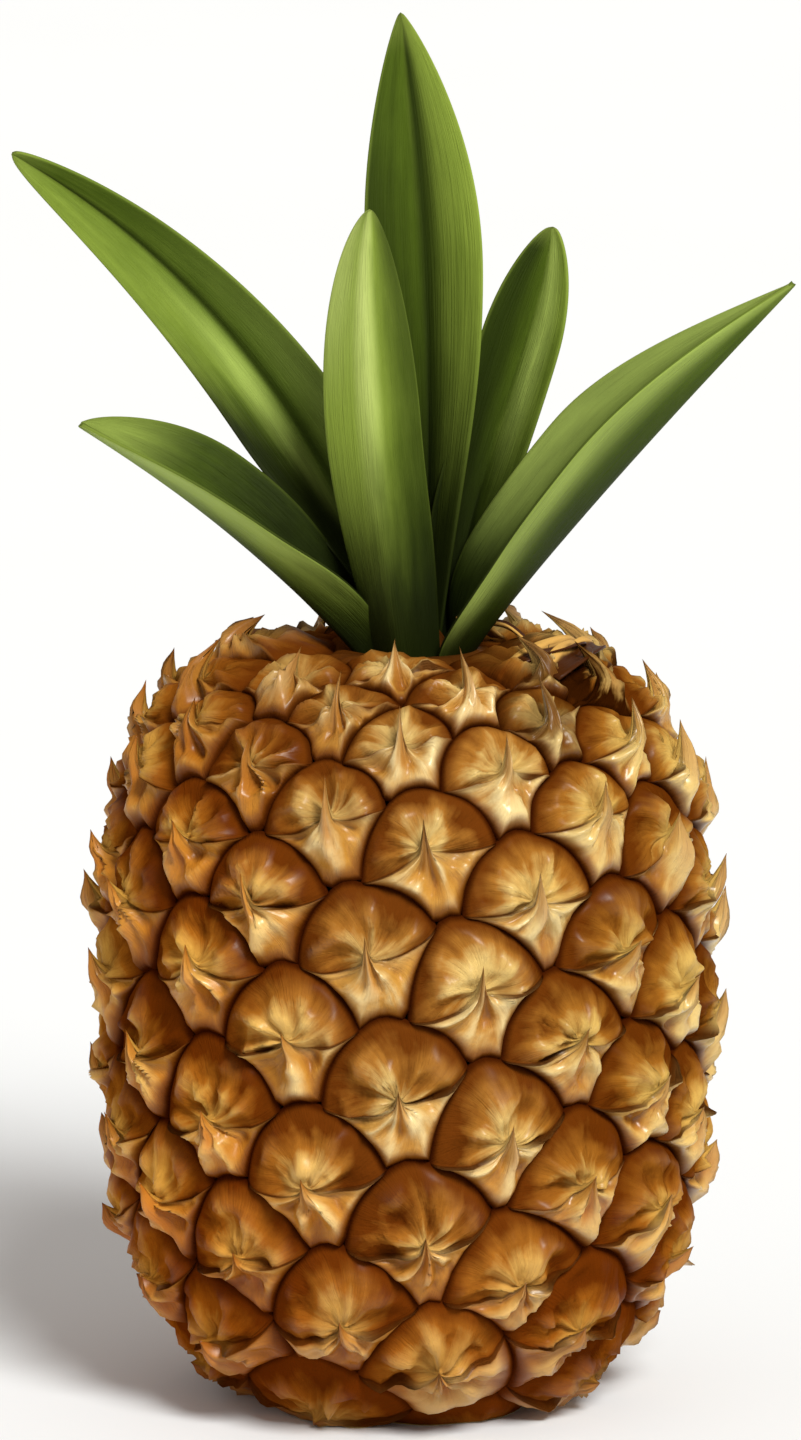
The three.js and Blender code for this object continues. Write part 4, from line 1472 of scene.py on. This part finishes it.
@dataclass
class Leaf:
    """One crown leaf, with the same dimensions as its solid, in millimetres and degrees.

    Its midrib is a curve from a root beside the stem's axis, past two places, to its tip. The blade is
    folded along it, by one angle at the foot and another at the tip. It faces the axis at the foot, and an
    azimuth and elevation of its own further out.
    """

    name: str
    root_azimuth: float
    root_radius: float
    curve: tuple[Triple, ...]
    blade: Blade
    fold: Span
    towards: Span
    outer: LeafFinish
    inner: LeafFinish
    columns: int = 20
    stations: int = 56
    tip_crowding: float = 1.3
    rib: float = 2.0
    edge_share: float = 0.35
    tip_thinning: float = 0.5
    crease: float = 0.06
    wave: float = 0.5
    waves: float = 11.0
    wave_shift: float = 2.2
    turned_at: float = 0.5
    run_scale: float = 6.0
    axis: Triple = (4.0, 0.7, 148.0)

    def build(self) -> None:
        """Shapes a grid into the folded leaf and gives it thickness."""
        bpy.ops.object.select_all(action="DESELECT")
        bpy.ops.mesh.primitive_grid_add(x_subdivisions=self.columns, y_subdivisions=self.stations, size=2)
        leaf = bpy.context.object
        flat = places_of(leaf.data)
        across = flat[:, 0]
        along = 1 - (1 - (flat[:, 1] + 1) / 2) ** self.tip_crowding
        set_places(leaf.data, self._surface(along, across) * MM)
        set_measure(leaf.data, "along", along)
        set_measure(leaf.data, "across", across)
        own_part = np.full(len(along), 5.3 * self.root_azimuth)
        set_measure(leaf.data, "run", np.stack([across, along * self.run_scale, own_part], axis=1))
        self._weigh(leaf, along, across)
        self._close_tip(leaf)
        # Each face has its own finish, with painted light and shade of its own.
        for finish in (self.inner, self.outer):
            leaf.data.materials.append(finish.material())
        self._thicken(leaf)
        make_active(leaf)
        bpy.ops.object.shade_smooth()
        finish_piece(leaf, self.name + "_blade", (self.name,))

    def _frames(self, along: np.ndarray) -> tuple[np.ndarray, np.ndarray, np.ndarray]:
        """Where the midrib is, and which way the blade spreads and faces.

        Args:
            along: shares of the leaf's length.

        Returns:
            Rows for the place, the spread and the facing.
        """

        def bearing(azimuth: float, elevation: float) -> np.ndarray:
            """An azimuth and elevation in degrees as a direction."""
            a, e = math.radians(azimuth), math.radians(elevation)
            return np.array([math.cos(e) * math.sin(a), -math.cos(e) * math.cos(a), math.sin(e)])

        outward = bearing(self.root_azimuth, 0)
        root = np.array(self.axis) + self.root_radius * outward
        shift = np.array([0.0, self.axis[1], 0.0])
        first, second, tip = (np.array(place) + shift for place in self.curve)
        t = along[:, None]
        s = 1 - t
        place = s**3 * root + 3 * s**2 * t * first + 3 * s * t**2 * second + t**3 * tip
        run = 3 * s**2 * (first - root) + 6 * s * t * (second - first) + 3 * t**2 * (tip - second)
        run /= np.linalg.norm(run, axis=1)[:, None]
        turn = ease(along, 0, self.turned_at)[:, None]
        towards = -outward * (1 - turn) + bearing(*self.towards) * turn
        facing = towards - np.sum(towards * run, axis=1)[:, None] * run
        facing /= np.linalg.norm(facing, axis=1)[:, None]
        return place, np.cross(run, facing), facing

    def _surface(self, along: np.ndarray, across: np.ndarray) -> np.ndarray:
        """The leaf's middle surface.

        Args:
            along: shares of its length.
            across: shares of its half width, from -1 to 1.

        Returns:
            Rows of x, y, z in millimetres.
        """
        place, spread, facing = self._frames(along)
        fold = np.radians(self.fold[0] + (self.fold[1] - self.fold[0]) * along)
        half = self.blade.half_width(along)
        lift = (np.hypot(across, self.crease) - self.crease) / (math.hypot(1, self.crease) - self.crease)
        swing = np.sin(self.waves * along + self.wave_shift * np.sign(across))
        ripple = self.wave * swing * across**2 * (1 - along)
        sideways = across * half * np.cos(fold)
        outwards = lift * half * np.sin(fold) + ripple
        return place + sideways[:, None] * spread + outwards[:, None] * facing

    def _weigh(self, leaf: bpy.types.Object, along: np.ndarray, across: np.ndarray) -> None:
        """Marks how thick the leaf becomes: most along the midrib at the foot, least at the edges.

        Args:
            leaf: the shaped grid.
            along: shares of its length, vertex by vertex.
            across: shares of its half width.
        """
        thickness = leaf.vertex_groups.new(name="thickness")
        inner = (1 - across**2) * (1 - self.tip_thinning * along)
        for vertex, weight in enumerate(inner * (1 - self.edge_share) + self.edge_share):
            thickness.add([vertex], float(weight), "REPLACE")

    @staticmethod
    def _close_tip(leaf: bpy.types.Object) -> None:
        """Draws the last row of the grid together into the tip.

        Args:
            leaf: the shaped grid.
        """
        make_active(leaf)
        bpy.ops.object.mode_set(mode="EDIT")
        bpy.ops.mesh.select_all(action="SELECT")
        bpy.ops.mesh.remove_doubles(threshold=0.05 * MM)
        bpy.ops.object.mode_set(mode="OBJECT")

    def _thicken(self, leaf: bpy.types.Object) -> None:
        """Gives the leaf the thickness that it is marked with, and smooths it.

        Args:
            leaf: the shaped and marked grid.
        """
        solidify = leaf.modifiers.new("thickness", "SOLIDIFY")
        solidify.thickness = self.rib * MM
        solidify.offset = 0
        solidify.vertex_group = "thickness"
        solidify.material_offset = 1
        smooth = leaf.modifiers.new("smooth", "SUBSURF")
        smooth.levels = smooth.render_levels = 1
        make_active(leaf)
        bpy.ops.object.modifier_apply(modifier="thickness")
        bpy.ops.object.modifier_apply(modifier="smooth")


def crown_leaves() -> list[Leaf]:
    """The six leaves of the crown.

    Returns:
        The leaves, from the front one round to the back.
    """
    # A painted shadow along the fold's crease, and an outer face with a painted highlight along its keel.
    crease = Streak(0.0, 0.16, 0.85)
    keel = LeafFinish(painted_highlights=(Streak(0.0, 0.3, 0.35, (0.25, 0.75)),))
    front = Leaf(
        "leaf_front",
        root_azimuth=-21,
        root_radius=9.6,
        curve=((-4, -14, 178.5), (-8, -20, 220.5), (-6, -23, 243.7)),
        blade=Blade(7.9, 11, 0.5, 0.7),
        fold=(30, 30),
        towards=(184, 20),
        outer=LeafFinish(
            painted_highlights=(Streak(0.08, 0.32, 0.8, (0.25, 0.7)), Streak(0.9, 0.9, 0.5, (0.5, 0.85))),
            shadows=(Streak(-0.9, 0.9, 0.7),),
            lit_half=0.8,
            tone_and_painted_light=0.15,
            foot_shade_to=0.55,
            painted_highlight=paint(190, 206, 120),
        ),
        inner=LeafFinish(shadows=(crease,)),
    )
    right_long = Leaf(
        "leaf_right_long",
        root_azimuth=75,
        root_radius=8.5,
        curve=((12, -4, 152), (28, -6, 173), (78, -7, 227.2)),
        blade=Blade(5.6, 18, 0.7, 0.95),
        fold=(30, 58),
        towards=(-77, 24),
        outer=LeafFinish(
            painted_highlights=(Streak(0.95, 0.55, 0.6, (0.1, 0.4)),),
            shadows=(Streak(-0.1, 0.95, 1.0, (1.0, 0.55)),),
            tone_and_painted_light=-0.2,
            foot_shade_to=0.6,
            foot_shade_lean=0.25,
        ),
        inner=LeafFinish(
            painted_highlights=(Streak(-0.9, 0.65, 0.55, (0.35, 0.65)),),
            shadows=(Streak(0.0, 0.65, 0.8),),
            tone_and_painted_light=-0.32,
            foot_shade_to=0.95,
            foot_shade_lean=-0.1,
        ),
    )
    left_low = Leaf(
        "leaf_left_low",
        root_azimuth=-75,
        root_radius=9.2,
        curve=((-21, -5, 167), (-39, -8, 183.6), (-63.6, -10, 199.3)),
        blade=Blade(7, 13.5, 0.65, 0.7),
        fold=(70, 33),
        towards=(60, 44),
        outer=LeafFinish(
            painted_highlights=(Streak(-0.9, 0.75, 0.75, (0.1, 0.5)),),
            shadows=(Streak(0.0, 0.6, 0.95, (0.9, 0.45)),),
            tone_and_painted_light=0.25,
            foot_shade_to=0.55,
            foot_shade_lean=-0.12,
        ),
        inner=LeafFinish(
            painted_highlights=(Streak(0.3, 1.2, 0.5, (0.7, 1.0)),),
            shadows=(crease,),
            tone_and_painted_light=-0.25,
            foot_shade_to=0.95,
            tip_from=0.7,
        ),
    )
    back_tall = Leaf(
        "leaf_back_tall",
        root_azimuth=172,
        root_radius=9.4,
        curve=((6, 12, 194), (6, 17, 233), (0, 20, 278)),
        blade=Blade(5, 14.5, 0.6, 0.8),
        fold=(58, 22),
        towards=(0, 30),
        outer=keel,
        inner=LeafFinish(
            shadows=(
                Streak(0.08, 0.35, 0.95),
                Streak(0.2, 0.75, 0.45),
                Streak(-1.0, 0.9, 0.8, (1.0, 0.7)),
            ),
            lit_half=1.0,
            tone_and_painted_light=-0.25,
            foot_shade_to=0.66,
        ),
    )
    left_long = Leaf(
        "leaf_left_long",
        root_azimuth=-132,
        root_radius=9,
        curve=((-5, 12, 176), (-32, 20, 224), (-78, 22, 249.5)),
        blade=Blade(9.5, 14.5, 0.37, 0.6),
        fold=(43, 37),
        towards=(19, -21),
        outer=keel,
        inner=LeafFinish(
            painted_highlights=(Streak(-0.3, 0.35, 0.6, (0.8, 0.5)), Streak(0.7, 0.9, 0.25, (0.9, 0.4))),
            shadows=(Streak(0.1, 0.25, 0.8),),
            lit_half=-0.5,
            tone_and_painted_light=-0.1,
            foot_shade_to=0.4,
            foot_shade_lean=0.4,
        ),
    )
    right_back = Leaf(
        "leaf_right_back",
        root_azimuth=128,
        root_radius=9.6,
        curve=((10, 10, 179), (27, 16, 210), (30.5, 19, 235)),
        blade=Blade(5.5, 10.5, 0.7, 0.6),
        fold=(33, 42),
        towards=(-11, 0),
        outer=keel,
        inner=LeafFinish(
            painted_highlights=(Streak(0.45, 0.45, 0.7, (0.35, 0.7)),),
            shadows=(Streak(-0.7, 0.9, 0.95),),
            lit_half=0.6,
            tone_and_painted_light=-0.2,
            foot_shade_to=0.85,
        ),
    )
    return [front, right_long, left_low, back_tall, left_long, right_back]


@dataclass(frozen=True)
class DryFinish:
    """Withered bract, dark brown with pale streaks that gather along one side as a painted highlight."""

    dark: Tone = paint(64, 30, 5)
    pale: Tone = paint(206, 160, 84)
    streak_stretch: Triple = (1.6, 0.6, 1.0)
    relief: float = 0.5 * MM

    def material(self) -> bpy.types.Material:
        """Builds the withered finish.

        Returns:
            The material.
        """
        sheet = Sheet("dry_bract")
        run = sheet.track("run")
        across = sheet.parts(run)[0]
        streaks = sheet.threads(run, self.streak_stretch, 2.0, 0.5)
        # Pale streaks, gathered along one side as a painted highlight.
        streaks_and_highlight = (streaks - across * 0.6).rise(0.55, 1.0)
        sockets = {
            "Base Color": sheet.blend(streaks_and_highlight, self.dark, self.pale),
            "Roughness": 0.4,
            "Normal": sheet.bump(streaks, self.relief),
            "Specular IOR Level": 0.1,
        }
        return sheet.surface(sockets)


@dataclass(frozen=True)
class DryBract:
    """One withered bract, from its root to its point.

    Each end is an azimuth in degrees and a length in millimetres down the skin from the middle of the
    crown's seat. The lifts are how far the root, the middle and the point stand off the skin.
    """

    root: Span
    point: Span
    half_width: float
    lifts: Triple
    curl: float = 0.5


@dataclass
class DryBits:
    """The withered bracts that lie curled on the right shoulder, in millimetres."""

    barrel: Barrel
    finish: DryFinish = field(default_factory=DryFinish)
    bits: tuple[DryBract, ...] = (
        DryBract((54, 36), (88, 35), 3.4, (-1.5, 3.6, 0.0), 1.6),
        DryBract((50, 29), (96, 36), 2.6, (-1.5, 4.6, -0.5), 1.2),
        DryBract((66, 33), (104, 40), 2.8, (-1.5, 3.2, 0.5), 1.2),
        DryBract((112, 20), (92, 11), 2.2, (-1.5, 1.5, 5.0), 1.2),
        DryBract((98, 26), (108, 14), 1.7, (-1.5, 1.5, 3.5), 0.9),
    )
    columns: int = 6
    stations: int = 18
    thickness: float = 0.45
    taper: Span = (0.25, 0.73)
    fullness: float = 0.8
    curl_level: float = 0.3
    wave: float = 0.3
    waves: float = 9.0
    run_scale: float = 4.0

    def build(self) -> None:
        """Shapes each bit from a grid and joins them."""
        made = [self._strip(number, bit) for number, bit in enumerate(self.bits)]
        make_active(made[0])
        for strip in made:
            strip.select_set(True)
        bpy.ops.object.join()
        piece = bpy.context.object
        piece.data.materials.clear()
        piece.data.materials.append(self.finish.material())
        bpy.ops.object.shade_smooth()
        finish_piece(piece, "dry_bracts", ())

    def _strip(self, number: int, bit: DryBract) -> bpy.types.Object:
        """Makes one curled strip, which narrows to its point.

        Args:
            number: its place in the list, which also varies it.
            bit: its ends, width, lifts and curl.

        Returns:
            The strip with its thickness.
        """
        bpy.ops.object.select_all(action="DESELECT")
        bpy.ops.mesh.primitive_grid_add(x_subdivisions=self.columns, y_subdivisions=self.stations, size=2)
        strip = bpy.context.object
        flat = places_of(strip.data)
        across, along = flat[:, 0], (flat[:, 1] + 1) / 2
        set_places(strip.data, self._surface(number, bit, along, across) * MM)
        own_part = np.full(len(along), 3.1 * number)
        set_measure(strip.data, "run", np.stack([across, along * self.run_scale, own_part], axis=1))
        solidify = strip.modifiers.new("thickness", "SOLIDIFY")
        solidify.thickness = self.thickness * MM
        solidify.offset = 0
        make_active(strip)
        bpy.ops.object.modifier_apply(modifier="thickness")
        return strip

    def _surface(self, number: int, bit: DryBract, along: np.ndarray, across: np.ndarray) -> np.ndarray:
        """A strip's middle surface over the skin.

        Args:
            number: the strip's place in the list.
            bit: its ends, width, lifts and curl.
            along: shares of its length, from the root.
            across: shares of its half width, from -1 to 1.

        Returns:
            Rows of x, y, z in millimetres.
        """
        azimuth = np.radians(bit.root[0] + (bit.point[0] - bit.root[0]) * along)
        arc = self.barrel.line["arc"][-1] - (bit.root[1] + (bit.point[1] - bit.root[1]) * along)
        opening, closing = self.taper
        width = bit.half_width * np.sin(math.pi * np.clip(opening + closing * along, 0, 1)) ** self.fullness
        low, middle, high = bit.lifts
        curl = bit.curl * (across**2 - self.curl_level) * np.sin(math.pi * along)
        out = (1 - along) ** 2 * low + 2 * (1 - along) * along * middle + along**2 * high
        out += curl + self.wave * np.sin(self.waves * along + number)
        girth = self.barrel.at("arc", arc, "r")
        turn = math.radians(bit.point[0] - bit.root[0]) * float(girth.mean())
        run = np.array([turn, bit.root[1] - bit.point[1]])
        side = np.array([run[1], -run[0]]) / np.linalg.norm(run)
        turned = azimuth + across * width * side[0] / girth
        return self.barrel.skin(turned, arc, out, across * width * side[1])


@dataclass
class Studio:
    """A pale floor, a soft sun and sky, and a long lens from a little above.

    Sizes are in metres, except for the lens and the sensor in millimetres, and angles are in degrees.
    """

    aim: Triple = (0.0, 0.0, 0.1381)
    elevation: float = 10.0
    lens: float = 250.0
    view_height: float = 0.288
    sensor: float = 36.0
    floor_size: float = 12.0
    sun_azimuth: float = 24.0
    sun_height: float = 42.0
    sun_width: float = 20.0
    sun_power: float = 3.5
    sun_colour: Triple = (1.0, 0.985, 0.92)
    sky_power: float = 0.44
    sky_colour: Tone = (1.0, 0.91, 0.82, 1.0)
    floor_finish: PlainFinish = PlainFinish("pale_floor", (0.88, 0.92, 0.98, 1.0), 0.9)

    def build(self) -> None:
        """Sets up the floor, the camera, the sun and the sky."""
        self._floor()
        self._camera()
        self._sun()
        self._sky()

    def _floor(self) -> None:
        """A wide pale floor that fills the view."""
        bpy.ops.object.select_all(action="DESELECT")
        bpy.ops.mesh.primitive_plane_add(size=self.floor_size, location=(0, 0, 0))
        floor = bpy.context.object
        floor.name = "floor"
        floor.data.materials.append(self.floor_finish.material())

    def _camera(self) -> None:
        """Puts the camera where the view has the picture's height and slope."""
        data = bpy.data.cameras.new("camera")
        data.lens = self.lens
        data.sensor_width = self.sensor
        camera = bpy.data.objects.new("camera", data)
        bpy.context.collection.objects.link(camera)
        slope = math.radians(self.elevation)
        back = Vector((0.0, -math.cos(slope), math.sin(slope)))
        camera.location = Vector(self.aim) + back * (self.view_height * self.lens / self.sensor)
        camera.rotation_mode = "QUATERNION"
        camera.rotation_quaternion = (-back).to_track_quat("-Z", "Y")
        bpy.context.scene.camera = camera

    def _sun(self) -> None:
        """A broad soft sun from the front right."""
        data = bpy.data.lights.new("sun", "SUN")
        data.energy = self.sun_power
        data.angle = math.radians(self.sun_width)
        data.color = self.sun_colour
        sun = bpy.data.objects.new("sun", data)
        bpy.context.collection.objects.link(sun)
        azimuth, height = math.radians(self.sun_azimuth), math.radians(self.sun_height)
        flat = math.cos(height)
        towards = Vector((flat * math.sin(azimuth), -flat * math.cos(azimuth), math.sin(height)))
        sun.location = towards
        sun.rotation_euler = (-towards).to_track_quat("-Z", "Y").to_euler()

    def _sky(self) -> None:
        """An even pale sky, and plain display colours."""
        world = bpy.data.worlds.new("sky")
        bpy.context.scene.world = world
        world.use_nodes = True
        background = world.node_tree.nodes["Background"]
        background.inputs[0].default_value = self.sky_colour
        background.inputs[1].default_value = self.sky_power
        bpy.context.scene.view_settings.view_transform = "Standard"


def main() -> None:
    """Builds the studio, the rind, the dry bracts and the crown."""
    logging.basicConfig(level=logging.INFO, format="%(name)s %(message)s")
    Studio().build()
    barrel = Barrel()
    Rind(Spiral(barrel)).build()
    DryBits(barrel).build()
    for leaf in crown_leaves():
        leaf.build()


if __name__ == "__main__":
    main()
